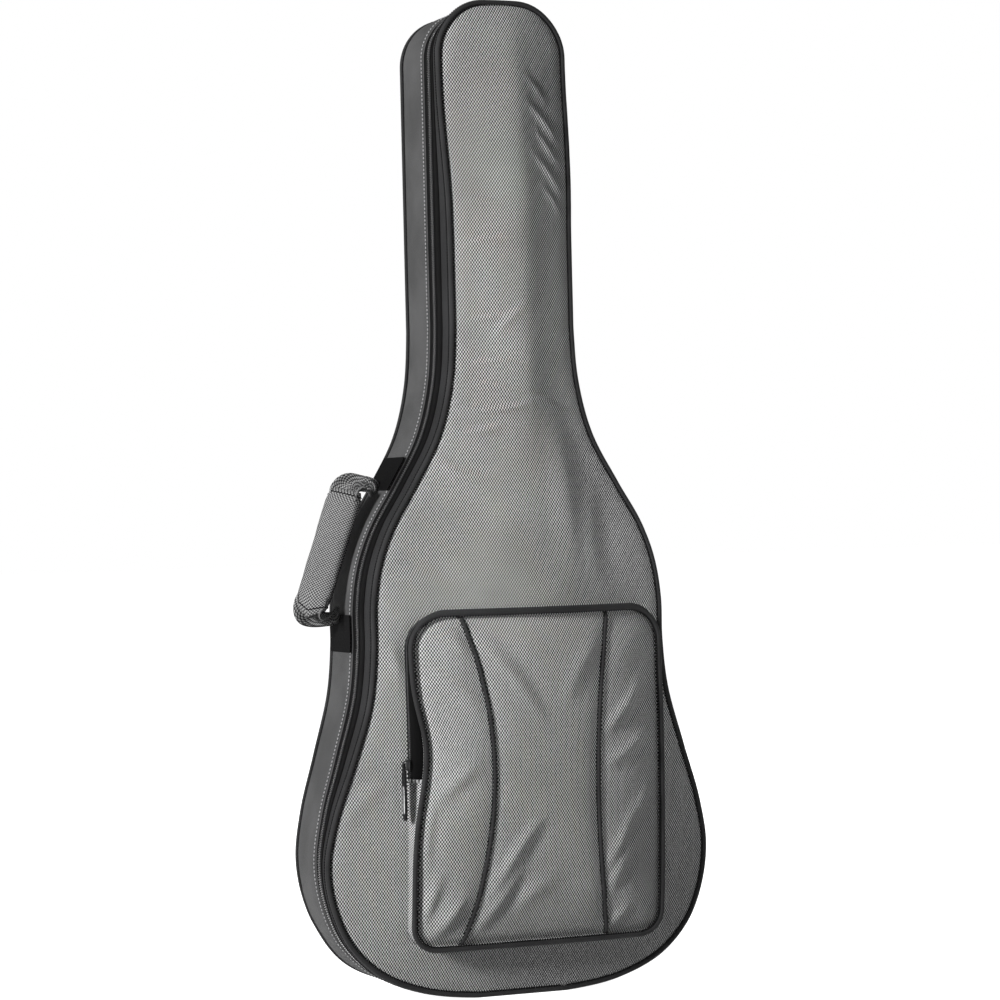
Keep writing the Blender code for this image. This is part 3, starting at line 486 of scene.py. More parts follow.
def solid(rows, shape=None, closed=False, length=None):
    """A skin through rings of points, added to a shape or on its own."""
    shape = shape or Shape()
    shape.rings(rows, closed, length)
    return shape


def upright(p, y):
    """Places in X and Z stood at depths y."""
    return np.stack([p[:, 0], np.full(len(p), y), p[:, 1]], 1)


def recalculate(mesh):
    bm = bmesh.new()
    bm.from_mesh(mesh)
    bmesh.ops.recalc_face_normals(bm, faces=bm.faces)
    bm.to_mesh(mesh)
    bm.free()


def band(path, profile, relief=None):
    """A strip that carries (distance out, Y) profiles along a path. relief moves places outwards."""
    rows = []
    for (x, z), (nx, nz) in zip(path.p, path.n):
        rows.append([(x + nx * d, y, z + nz * d) for d, y in profile(z)])
    if relief:
        rows = relief(path, np.array(rows))
    length = path.s if not path.closed else path.s[: len(path.p)]
    return solid(rows, closed=path.closed, length=length)


def tube(points, radius, sides=10, closed=False):
    """A round cord along points in space."""
    p = np.array(points)
    ahead = np.roll(p, -1, 0) if closed else np.vstack([p[1:], 2 * p[-1] - p[-2]])
    behind = np.roll(p, 1, 0) if closed else np.vstack([2 * p[0] - p[1], p[:-1]])
    t = ahead - behind
    t /= np.linalg.norm(t, axis=1)[:, None]
    reference = np.array([0.0, 1.0, 0.0])
    side = np.cross(t, reference)
    side /= np.linalg.norm(side, axis=1)[:, None]
    up = np.cross(side, t)
    rings = []
    for k in range(len(p)):
        r = radius[k] if np.ndim(radius) else radius
        angles = [2 * math.pi * j / sides for j in range(sides)]
        rings.append([p[k] + r * (math.cos(a) * side[k] + math.sin(a) * up[k]) for a in angles])
    return solid(rings, closed=closed)


def dashes(places, ways, ups, length, radius, shape=None):
    """Thread stitches: one small spindle at each place, along its way. Set end to end beside the piping, they
    also stand for a painted shadow gap.
    """
    shape = shape or Shape()
    for p, t, n in zip(np.array(places), np.array(ways), np.array(ups)):
        b = np.cross(t, n)
        verts = [p - t * length / 2, p + t * length / 2]
        for share in (-0.28, 0.28):
            for k in range(5):
                a = 2 * math.pi * k / 5
                verts.append(p + t * length * share + radius * (math.cos(a) * n + math.sin(a) * b))
        faces = [(0, 2 + (k + 1) % 5, 2 + k) for k in range(5)]
        faces += [(1, 7 + k, 7 + (k + 1) % 5) for k in range(5)]
        faces += [(2 + k, 2 + (k + 1) % 5, 7 + (k + 1) % 5, 7 + k) for k in range(5)]
        shape.add(verts, faces, [(0, 0)] * len(verts))
    return shape


def along_path(path, pitch, out, y, start=0.0, end=None):
    """Places, ways and outward directions every pitch along a path in X and Z."""
    end = path.s[-1] if end is None else end
    s = np.arange(start + pitch / 2, end, pitch)
    place, t, n = path.at(s)
    z = place[:, 1]
    ys = y(z) if callable(y) else np.full(len(s), y)
    outs = out(z) if callable(out) else out
    places = np.stack([place[:, 0] + n[:, 0] * outs, ys, place[:, 1] + n[:, 1] * outs], 1)
    ways = np.stack([t[:, 0], np.zeros(len(s)), t[:, 1]], 1)
    ups = np.stack([n[:, 0], np.zeros(len(s)), n[:, 1]], 1)
    return places, ways, ups


def finer(half, count):
    """The same outline with each of its steps cut into count."""
    fine = []
    for p, q in zip(half, half[1:]):
        fine += [p.lerp(q, k / count) for k in range(count)]
    return fine + [half[-1]]


def sheet(half, front, rear, columns, inset):
    """A padded sheet between mirrored edges: level rows, an outer and an inner face, and a rim."""
    path = Path(half, closed=False)
    edge = path.p - path.n * (inset(path.p[:, 1])[:, None] if callable(inset) else inset)
    shares = np.linspace(-1, 1, columns)
    shares = np.sign(shares) * (1 - (1 - np.abs(shares)) ** 1.35)
    x = edge[:, :1] * shares
    z = np.repeat(edge[:, 1:], columns, 1)
    places = np.stack([x.ravel(), z.ravel()], 1)
    shape = Shape()
    rows = len(edge)
    near, far = front(places), rear(places)
    shape.add(upright(places, near), grid_faces(rows, columns), places)
    first = shape.add(upright(places, far), grid_faces(rows, columns), places)
    rim = [i * columns for i in range(rows)]
    rim += [(rows - 1) * columns + j for j in range(1, columns)]
    rim += [i * columns + columns - 1 for i in range(rows - 2, -1, -1)]
    rim += list(range(columns - 2, 0, -1))
    shape.f += [(a, b, b + first, a + first) for a, b in zip(rim, rim[1:] + rim[:1])]
    return shape


# ---- materials -------------------------------------------------------------------------------


class Nodes:
    """A material's node tree, written from short calls."""

    def __init__(self, name, roughness, metallic=0.0, specular=0.5, sheen=0.0, sheen_roughness=0.5, coat=0.0):
        self.material = bpy.data.materials.new(name)
        self.material.use_nodes = True
        self.tree = self.material.node_tree
        self.shader = self.tree.nodes["Principled BSDF"]
        self.shader.inputs["Roughness"].default_value = roughness
        self.shader.inputs["Metallic"].default_value = metallic
        self.shader.inputs["Specular IOR Level"].default_value = specular
        self.shader.inputs["Sheen Weight"].default_value = sheen
        self.shader.inputs["Sheen Roughness"].default_value = sheen_roughness
        self.shader.inputs["Coat Weight"].default_value = coat

    def link(self, value, socket):
        if isinstance(value, (int, float)):
            socket.default_value = value
        elif isinstance(value, tuple):
            opaque = len(value) == 3 and len(socket.default_value) == 4
            socket.default_value = (*value, 1.0) if opaque else value
        else:
            self.tree.links.new(value, socket)

    def place(self, scale=1.0, turn=0.0):
        """The texture place in metres times scale, turned in its plane."""
        coordinates = self.tree.nodes.new("ShaderNodeTexCoord")
        mapping = self.tree.nodes.new("ShaderNodeMapping")
        self.tree.links.new(coordinates.outputs["UV"], mapping.inputs["Vector"])
        mapping.inputs["Scale"].default_value = (scale, scale, scale)
        mapping.inputs["Rotation"].default_value = (0, 0, math.radians(turn))
        return mapping.outputs["Vector"]

    def split(self, vector):
        node = self.tree.nodes.new("ShaderNodeSeparateXYZ")
        self.tree.links.new(vector, node.inputs[0])
        return node.outputs["X"], node.outputs["Y"]

    def math(self, operation, a, b=0.0):
        node = self.tree.nodes.new("ShaderNodeMath")
        node.operation = operation
        self.link(a, node.inputs[0])
        self.link(b, node.inputs[1])
        return node.outputs[0]

    def ramp(self, value, low, high, to_low=0.0, to_high=1.0):
        node = self.tree.nodes.new("ShaderNodeMapRange")
        node.interpolation_type = "SMOOTHSTEP"
        self.link(value, node.inputs["Value"])
        for key, number in (("From Min", low), ("From Max", high), ("To Min", to_low), ("To Max", to_high)):
            node.inputs[key].default_value = number
        return node.outputs[0]

    def noise(self, vector, scale, detail=3.0, roughness=0.55):
        node = self.tree.nodes.new("ShaderNodeTexNoise")
        self.tree.links.new(vector, node.inputs["Vector"])
        node.inputs["Scale"].default_value = scale
        node.inputs["Detail"].default_value = detail
        node.inputs["Roughness"].default_value = roughness
        return node.outputs["Fac"]

    def mix(self, share, a, b):
        node = self.tree.nodes.new("ShaderNodeMix")
        node.data_type = "RGBA"
        self.link(share, node.inputs["Factor"])
        self.link(a, node.inputs[6])
        self.link(b, node.inputs[7])
        return node.outputs[2]

    def wave(self, coordinate, cycles=1.0):
        """sin(2 pi cycles coordinate)."""
        return self.math("SINE", self.math("MULTIPLY", coordinate, 2 * math.pi * cycles))

    def finish(self, colour, height=None, depth=0.0002, roughness=None):
        self.link(colour, self.shader.inputs["Base Color"])
        if roughness is not None:
            self.link(roughness, self.shader.inputs["Roughness"])
        if height is not None:
            bump = self.tree.nodes.new("ShaderNodeBump")
            bump.inputs["Distance"].default_value = depth
            bump.inputs["Strength"].default_value = 1.0
            self.tree.links.new(height, bump.inputs["Height"])
            self.tree.links.new(bump.outputs[0], self.shader.inputs["Normal"])
        return self.material


def dot_weave(name, light, dark, across, rise):
    """Two-tone basket weave: pale and dark dots by turns, each row of them half a step along."""
    n = Nodes(name, 0.52, specular=0.22, sheen=0.03)
    u, v = n.split(n.place())
    cells = n.math("MULTIPLY", n.wave(u, 1 / across), n.wave(v, 0.5 / rise))
    wander = n.noise(n.place(), 300.0, 2.0)
    cells = n.math("ADD", cells, n.math("MULTIPLY", n.math("SUBTRACT", wander, 0.5), 0.35))
    fine_u, fine_v = n.split(n.place(1 / 0.0007))
    threads = n.math("MULTIPLY", n.wave(fine_u, 0.5), n.wave(fine_v, 0.5))
    shade = n.ramp(n.noise(n.place(), 9.0, 3.0), 0.35, 0.65, 0.86, 1.0)
    middle = tuple(0.14 * a + 0.86 * b for a, b in zip(light, dark))
    colour = n.mix(n.ramp(cells, -0.02, 0.24), middle, light)
    colour = n.mix(n.ramp(cells, -0.35, -0.02), dark, colour)
    colour = n.mix(n.ramp(threads, -0.9, 0.9, 0.0, 0.12), colour, dark)
    colour = n.mix(shade, dark, colour)
    height = n.math("ADD", cells, n.math("MULTIPLY", threads, 0.2))
    return n.finish(colour, height, 0.00030)


def ribbed(
    name, colour, pitch, roughness=0.7, depth=0.00018, sheen=0.04, specular=0.12, vary=0.25, across=1.0,
    turn=0.0
):
    """Plain cloth or webbing: crossed ribs, uneven in tone."""
    n = Nodes(name, roughness, specular=specular, sheen=sheen)
    u, v = n.split(n.place(1 / pitch, turn))
    ribs = n.math("MULTIPLY", n.wave(u, 0.5), n.wave(v, 0.5 * across))
    tone = n.noise(n.place(1.0), 14.0, 4.0)
    grain = n.noise(n.place(1.0), 700.0, 2.0)
    dark = tuple(c * (1 - vary) for c in colour)
    pale = tuple(min(c * (1 + vary), 1.0) for c in colour)
    base = n.mix(n.ramp(tone, 0.3, 0.7), dark, pale)
    base = n.mix(n.ramp(ribs, -0.8, 0.8, 0.35, 0.0), base, tuple(c * 0.45 for c in colour))
    base = n.mix(n.ramp(grain, 0.45, 0.75, 0.0, 0.25), base, tuple(min(c * 1.9, 1.0) for c in colour))
    return n.finish(base, n.math("ADD", ribs, n.math("MULTIPLY", grain, 0.8)), depth)


def brushed(name, colour, sheen=0.5):
    """Napped lining or loop cloth."""
    n = Nodes(name, 0.9, specular=0.08, sheen=sheen)
    fuzz = n.noise(n.place(1.0), 420.0, 5.0, 0.7)
    tone = n.noise(n.place(1.0), 18.0, 3.0)
    base = n.mix(n.ramp(fuzz, 0.35, 0.68), tuple(c * 0.55 for c in colour), tuple(c * 1.5 for c in colour))
    base = n.mix(n.ramp(tone, 0.3, 0.7, 0.0, 0.35), base, colour)
    return n.finish(base, fuzz, 0.0005)


def moulded(name, colour, roughness, metallic=0.0, coat=0.0, wear=0.1):
    """Plastic, coil or enamelled metal with a fine, slightly worn skin."""
    n = Nodes(name, roughness, metallic, coat=coat)
    scuff = n.noise(n.place(1.0), 900.0, 3.0)
    tone = n.noise(n.place(1.0), 60.0, 3.0)
    base = n.mix(n.ramp(scuff, 0.55, 0.8, 0.0, wear), colour, tuple(min(c * 3 + 0.02, 1.0) for c in colour))
    rough = n.ramp(tone, 0.3, 0.7, roughness * 0.85, min(roughness * 1.2, 1.0))
    return n.finish(base, scuff, 0.00006, rough)


def thread(name, colour):
    n = Nodes(name, 0.7, specular=0.12, sheen=0.03)
    grain = n.noise(n.place(1.0), 500.0, 2.0)
    return n.finish(n.mix(n.ramp(grain, 0.3, 0.7), tuple(c * 0.7 for c in colour), colour))


WEAVE = dot_weave("two_tone_weave", (0.92, 0.92, 0.92), (0.016, 0.016, 0.017), 0.0029, 0.00215)
GRIP_WEAVE = dot_weave("grip_weave", (0.44, 0.44, 0.44), (0.022, 0.022, 0.023), 0.0030, 0.0019)
SIDE = ribbed("side_nylon", (0.088, 0.088, 0.089), 0.0011, 0.70, 0.00022)
TRIM = ribbed("trim_nylon", (0.022, 0.022, 0.023), 0.0009, 0.65, 0.00018)
PIPING = ribbed("piping_nylon", (0.034, 0.034, 0.035), 0.0010, 0.60, 0.00018)
TAPE = ribbed(
    "zip_tape", (0.0060, 0.0060, 0.0062), 0.0007, 0.80, 0.00018, sheen=0.0, specular=0.05, across=0.5
)
COIL = moulded("zip_coil", (0.045, 0.045, 0.047), 0.22, coat=0.6)
WEBBING = ribbed("webbing", (0.009, 0.009, 0.010), 0.0014, 0.75, 0.00040, sheen=0.03, across=0.35)
VELVET = brushed("anchor_patch", (0.004, 0.004, 0.0042), 0.0)
LINED = brushed("brushed_lining", (0.045, 0.045, 0.047))
FOAM_CLOTH = brushed("foam_cover", (0.055, 0.055, 0.058))
VINYL = moulded("guard_vinyl", (0.018, 0.018, 0.018), 0.42)
PLASTIC = moulded("buckle_plastic", (0.020, 0.020, 0.021), 0.38, wear=0.2)
ENAMEL = moulded("slider_enamel", (0.016, 0.016, 0.017), 0.30, 0.6, coat=0.4, wear=0.3)
BRIGHT = moulded("bright_metal", (0.62, 0.62, 0.63), 0.25, 1.0, wear=0.1)
DARK_THREAD = thread("dark_thread", (0.005, 0.005, 0.0055))
PALE_THREAD = thread("pale_thread", (0.62, 0.62, 0.63))


# ---- the tub ---------------------------------------------------------------------------------


def gusset_relief(path, rows):
    """Softens the gusset: a shallow pillow across it, undulation, and crumples at the shoulders."""
    out = rows.copy()
    s, z = path.s[: len(path.p)], path.p[:, 1]
    front = gusset_front(z)
    for j in range(rows.shape[1]):
        y = rows[:, j, 1]
        share = np.clip((y - front) / (GUSSET_REAR - front), 0, 1)
        inward = ((rows[:, j, [0, 2]] - path.p) * path.n).sum(1) < -0.0095
        crumple = np.exp(-(((z - 0.640) / 0.055) ** 2)) + 0.6 * np.exp(-(((z - 0.350) / 0.07) ** 2))
        waves = 0.5 + 0.5 * np.sin(s * 2 * math.pi / 0.021 + 5 * share)
        soft = undulation(np.c_[s * 9, y * 9, np.zeros(len(s))], 1.0, 9)
        move = -0.0010 * (1 - 4 * share * (1 - share)) + 0.0008 * soft
        move -= 0.0022 * crumple * waves * np.sin(math.pi * share)
        move = np.where(inward, 0.0, np.minimum(move, 0.0) * ease((z - 0.004) / 0.02))
        out[:, j, 0] += path.n[:, 0] * move
        out[:, j, 2] += path.n[:, 1] * move
    return out


def make_tub():
    def foam(z):
        rear, front = rear_edge(z), gusset_front(z)
        skin = [(rear * t, front + (GUSSET_REAR - front) * t) for t in np.linspace(1, 0, 13)]
        return [
            (rear - FOAM, GUSSET_REAR), (rear - 0.0015, GUSSET_REAR), *skin[1:-1], (-0.0012, front),
            (-FOAM, front)
        ]

    gusset = band(EDGE, foam, gusset_relief)
    obj = build("side_gusset_cloth", gusset, SIDE, "shell", ["side_gusset"])

    def skin(z):
        rear, front, y = rear_edge(z) - FOAM - GAP, -FOAM - GAP, gusset_front(z)
        return [(front - LINING, y), (front, y), (rear, GUSSET_REAR), (rear - LINING, GUSSET_REAR)]

    obj = build("gusset_lining_cloth", band(EDGE, skin), LINED, "shell", ["gusset_lining"])

    def outer(p):
        d = segment_distance(p, EDGE.p)
        rolled = 1 - np.sqrt(1 - (1 - np.clip((d - 0.006) / 0.010, 0, 1)) ** 2 * 0.99)
        pillow = 0.0016 * (1 - ease(d / 0.05)) + 0.0090 * rolled
        wrinkle = 0.0008 * undulation(p, 0.07, 21) + 0.0008
        return BACK_Y - np.minimum(pillow, 0.0085) - wrinkle * ease(d / 0.03)

    def inner(p):
        return np.full(len(p), GUSSET_REAR + 0.0004)

    def back_inset(z):
        return BACK_INSET - rear_edge(z)

    back = sheet(HALF, outer, inner, 61, back_inset)
    obj = build("back_panel_cloth", back, SIDE, "shell", ["back_panel"])

    def lining_inset(z):
        return FOAM + 2 * LINING - rear_edge(z)

    def lining_face(p):
        return GUSSET_REAR - LINING - 0.0006 * (undulation(np.c_[p, p[:, 0]], 0.05, 4) + 1)

    lining = sheet(HALF, lining_face, lambda p: np.full(len(p), GUSSET_REAR), 31, lining_inset)
    obj = build("back_lining_cloth", lining, LINED, "shell", ["back_lining"])

    inset = rear_edge(EDGE.p[:, 1]) - REAR_PIPING_RADIUS
    ring = EDGE.p + EDGE.n * inset[:, None]
    centre = GUSSET_REAR + GAP + REAR_PIPING_RADIUS + LINING
    points = upright(ring, centre)
    build(
        "rear_piping_cord", tube(points, REAR_PIPING_RADIUS, 8, True), PIPING, "shell",
        ["rear_piping"]
    )

    stitches = dashes(*along_path(EDGE, 0.0042, 0.0000, lambda z: gusset_front(z) + 0.0022), 0.0027, 0.00055)
    build("gusset_front_stitches", stitches, PALE_THREAD, "shell")
    stitches = dashes(
        *along_path(EDGE, 0.0042, lambda z: rear_edge(z) * 0.93 - 0.0002, GUSSET_REAR - 0.004), 0.0026,
        0.0003
    )
    build("gusset_rear_stitches", stitches, DARK_THREAD, "shell")


# ---- the zip ---------------------------------------------------------------------------------

TOOTH_PITCH, POCKET_TOOTH_PITCH = 0.0025, 0.0022


def coil_teeth(path, pitch, first, centre, reach, out, size=1.0):
    """Coil turns as rounded bars across the chain. reach is signed: the tape's side of the centre."""
    s = np.arange(path.s[0] + first, path.s[-1] - pitch / 2, pitch)
    place, t, n = path.at(s)
    shape = Shape()
    levels = ((-0.12, 0.55, 0.6), (0.0, 1.0, 1.0), (0.35, 0.86, 0.92), (0.9, 0.86, 0.80), (1.0, 0.5, 0.5))
    angles = [2 * math.pi * k / 6 for k in range(6)]
    for k in range(len(s)):
        z = place[k, 1]
        c = centre(place[k])
        middle = np.array([place[k, 0], 0, z])
        way, up = np.array([t[k, 0], 0, t[k, 1]]), np.array([n[k, 0], 0, n[k, 1]])
        rings = []
        for share, wide, high in levels:
            y = c + reach * share
            rings.append(
                [
                    middle + np.array([0, y, 0]) + way * 0.00078 * size * wide * math.cos(a)
                    + up * (out + 0.0011 * size * high * math.sin(a))
                    for a in angles
                ]
            )
        shape.rings(rings, False, [0, 0, 0, 0, 0])
    return shape


def make_zip():
    run = ZIP_LOOP.part(0.0, ZIP_LENGTH)

    def tape(low, high):
        def profile(z):
            a, b = low(z), high(z)
            return [(-0.0036, a), (-0.0022, a), (-0.0021, (a + b) / 2), (-0.0022, b), (-0.0036, b)]

        return profile

    def beside(edge, gap):
        return lambda z: edge(z) + gap

    obj = build(
        "zip_tape_rear_cloth", band(run, tape(beside(gusset_front, 0.0002), beside(zip_y, 0.0004))), TAPE,
        "shell", ["zip_tape_rear"]
    )
    obj = build(
        "zip_tape_front_cloth", band(run, tape(beside(zip_y, -0.0004), beside(lid_rear, -0.0002))), TAPE,
        "lid", ["zip_tape_front"]
    )
    rear = coil_teeth(run, TOOTH_PITCH, 0.002, lambda p: zip_y(p[1]), 0.0040, -0.0014)
    front = coil_teeth(run, TOOTH_PITCH, 0.002 + TOOTH_PITCH / 2, lambda p: zip_y(p[1]), -0.0040, -0.0014)
    build("zip_coil_rear", rear, COIL, "shell", ["zip_chain_rear"])
    build("zip_coil_front", front, COIL, "lid", ["zip_chain_front"])
    for name, y, body in (
        ("tape_rear_stitches", beside(zip_y, 0.0068), "shell"),
        ("tape_front_stitches", beside(zip_y, -0.0066), "lid")
    ):
        stitches = dashes(*along_path(run, 0.0034, -0.0021, y), 0.0022, 0.00030)
        build(name, stitches, DARK_THREAD, body)

    low, high = HINGE_FIRST, HINGE_LAST
    fold = EDGE.part(low, high, 0.004)

    def strip(z):
        rear, front = gusset_front(z) - 0.0004, lid_rear(z) + 0.0004
        ys = np.linspace(rear, front, 19)
        return [(-0.0036, y) for y in ys] + [
            (-0.0016 + 0.0005 * math.sin(math.pi * (y - rear) / (front - rear)), y)
            for y in ys[::-1]
        ]

    hinge = band(fold, strip)
    obj = build(
        "hinge_gusset_cloth", hinge, SIDE, ("shell", "lid", (0.21, -0.025, 0.15), (0.21, -0.037, 0.15)),
        ["hinge_gusset_rear", "hinge_gusset_front"]
    )

    for name, height, way in (("upper", HINGE_HIGH, 1), ("lower", HINGE_LOW, -1)):
        start = EDGE.s_at(height) + (0.004 if way > 0 else -0.024)
        tab = EDGE.part(start, start + 0.020, 0.002)

        def pad(z):
            a, b = gusset_front(z) + 0.008, zip_y(z) + 0.0003
            return [
                (0.0003, a), (0.0012, a - 0.0004), (0.0015, (a + b) / 2), (0.0012, b + 0.0004), (0.0003, b)
            ]

        build(
            f"zip_end_tab_{name}_webbing", band(tab, pad), WEBBING, "shell",
            [f"zip_end_tab_{name}"], bevel=0.0003
        )


# ---- the lid ---------------------------------------------------------------------------------


def make_lid():
    def strip(z):
        rear, front = lid_rear(z), float(seam_y(z)) + 0.0002
        ys = np.linspace(rear, front, 9)
        skin = [(-0.0012 + 0.0012 * math.sin(math.pi * k / 8) ** 0.6, y) for k, y in enumerate(ys)]
        return [(-FOAM, rear), *skin, (-FOAM, front)]

    def flare(path, rows):
        """Leans the strip out to the fuller outline at the lid's front."""
        z = path.p[:, 1]
        rear, front = lid_rear(z)[:, None], seam_y(z)[:, None]
        share = ease((rows[:, :, 1] - rear) / (front - rear))
        rows[:, :, [0, 2]] += (FRONT.p - path.p)[:, None, :] * share[:, :, None]
        return rows

    obj = build("lid_gusset_cloth", band(EDGE, strip, flare), TRIM, "lid", ["lid_gusset"])
    stitches = dashes(*along_path(EDGE, 0.0040, -0.0004, lambda z: lid_rear(z) - 0.0022), 0.0025, 0.00032)
    build("lid_gusset_rear_stitches", stitches, DARK_THREAD, "lid")

    def folded_tape(z):
        rear = lid_rear(z)
        front = rear + (float(seam_y(z)) - rear) * 0.42
        return [(0.0001, rear - 0.0010), (0.0008, rear - 0.0010), (0.0008, front), (0.0001, front)]

    build("lid_tape_fold", band(EDGE, folded_tape, flare), TAPE, "lid")

    def inner(p):
        depth = np.maximum(soft_distance(p, FRONT.p) - FOAM, 0.0)
        return seam_y(p[:, 1]) - GAP - CROWN * 0.8 * np.sin(math.pi / 2 * np.minimum(depth / CROWN_RUN, 1))

    panel = sheet(finer(FRONT_HALF, 3), front_face, inner, 97, 0.0036)
    obj = build("front_panel_cloth", panel, WEAVE, "lid", ["front_panel"])

    def lining_face(p):
        return inner(p) + 2 * LINING + 0.0004 * undulation(np.c_[p, p[:, 0]], 0.05, 6)

    lining = sheet(FRONT_HALF, lambda p: inner(p) + LINING * 0.9, lining_face, 41, FOAM + 2 * LINING)
    obj = build("front_lining_cloth", lining, LINED, "lid", ["front_lining"])

    ring = FRONT.p - FRONT.n * (PIPING_RADIUS - 0.0002)
    ys = seam_y(ring[:, 1]) - GAP - PIPING_RADIUS
    points = upright(ring, ys)
    wobble = 1 + 0.03 * undulation(points * 60, 1.0, 3)
    build(
        "front_piping_cord", tube(points, PIPING_RADIUS * wobble, 12, True), PIPING, "lid",
        ["front_piping"]
    )

    # Near-solid dark lines at both edges of the front piping: partly stitching, partly painted shadow in the
    # gaps beside the cord.
    inner_edge = along_path(FRONT, PIPING_STITCH_AND_SHADOW_PITCH, -0.0061, lambda z: seam_y(z) - 0.0052)
    outer_edge = along_path(FRONT, PIPING_STITCH_AND_SHADOW_PITCH, -0.0004, lambda z: seam_y(z) + 0.0002)
    stitches = dashes(*inner_edge, *PIPING_STITCH_AND_SHADOW_DASH)
    dashes(*outer_edge, *PIPING_STITCH_AND_SHADOW_DASH, stitches)
    build("front_piping_stitches_and_painted_shadow", stitches, DARK_THREAD, "lid")

    columns, levels = 31, 10
    xs, zs = np.linspace(-0.075, 0.075, columns), np.linspace(0.150, 0.195, levels)
    p = np.array([(x, z) for z in zs for x in xs])
    guard = Shape()
    base = inner(p) + 2 * LINING
    near, far = base + 0.0010, base + 0.0028
    guard.add(upright(p, near), grid_faces(levels, columns), p)
    first = guard.add(upright(p, far), grid_faces(levels, columns), p)
    last = (levels - 1) * columns
    rim = list(range(columns)) + [columns * k + columns - 1 for k in range(1, levels)]
    rim += [last + k for k in range(columns - 2, -1, -1)] + [columns * k for k in range(levels - 2, 0, -1)]
    guard.f += [(a, b, b + first, a + first) for a, b in zip(rim, rim[1:] + rim[:1])]
    build("bridge_guard_vinyl", guard, VINYL, "lid", ["bridge_guard"])


# ---- the pocket ------------------------------------------------------------------------------


def pocket_loop(step=0.004):
    left, right = POCKET_X - POCKET_HALF, POCKET_X + POCKET_HALF
    corners = (
        (right, POCKET_LOW, -1, 1, POCKET_LOW_RADIUS, -90),
        (right, POCKET_HIGH, -1, -1, POCKET_TOP_RADIUS, 0),
        (left, POCKET_HIGH, 1, -1, POCKET_TOP_RADIUS, 90),
        (left, POCKET_LOW, 1, 1, POCKET_LOW_RADIUS, 180),
    )
    turns = [arc((x + sx * r, z + sz * r), r, a, a + 90, 12) for x, z, sx, sz, r, a in corners]
    loop = []
    for turn, following in zip(turns, turns[1:] + turns[:1]):
        loop += turn + straight(turn[-1], following[0], step)
    return loop


POCKET = Path(pocket_loop())
POCKET_SPAN = Vector((2 * POCKET_HALF, POCKET_HIGH - POCKET_LOW))
POCKET_WAY = POCKET_SPAN.normalized()
CORNER_WAY = np.array([-POCKET_WAY.x, POCKET_WAY.y])
POCKET_CENTRE = np.array([POCKET_X, (POCKET_LOW + POCKET_HIGH) / 2])
PEEL_START, PEEL_END = 0.085, 0.215  # along the diagonal from the pocket's middle
LAST_RING = (0.02, 0.235)  # the face's innermost ring, as shares of the pocket's outline
POCKET_SKIN = 0.0018


def peel():
    """Where the pocket starts to lift from the lid and where it moves freely, along its diagonal."""
    start = POCKET_CENTRE + CORNER_WAY * PEEL_START
    end = POCKET_CENTRE + CORNER_WAY * PEEL_END
    return "lid", "pocket_flap", (start[0], -0.09, start[1]), (end[0], -0.09, end[1])


def zipped(p):
    left = (p[:, 0] < POCKET_X - POCKET_HALF + POCKET_TOP_RADIUS) & (p[:, 1] > POCKET_ZIP_END - 0.001)
    return left | (p[:, 1] > POCKET_HIGH - POCKET_TOP_RADIUS - 0.001)


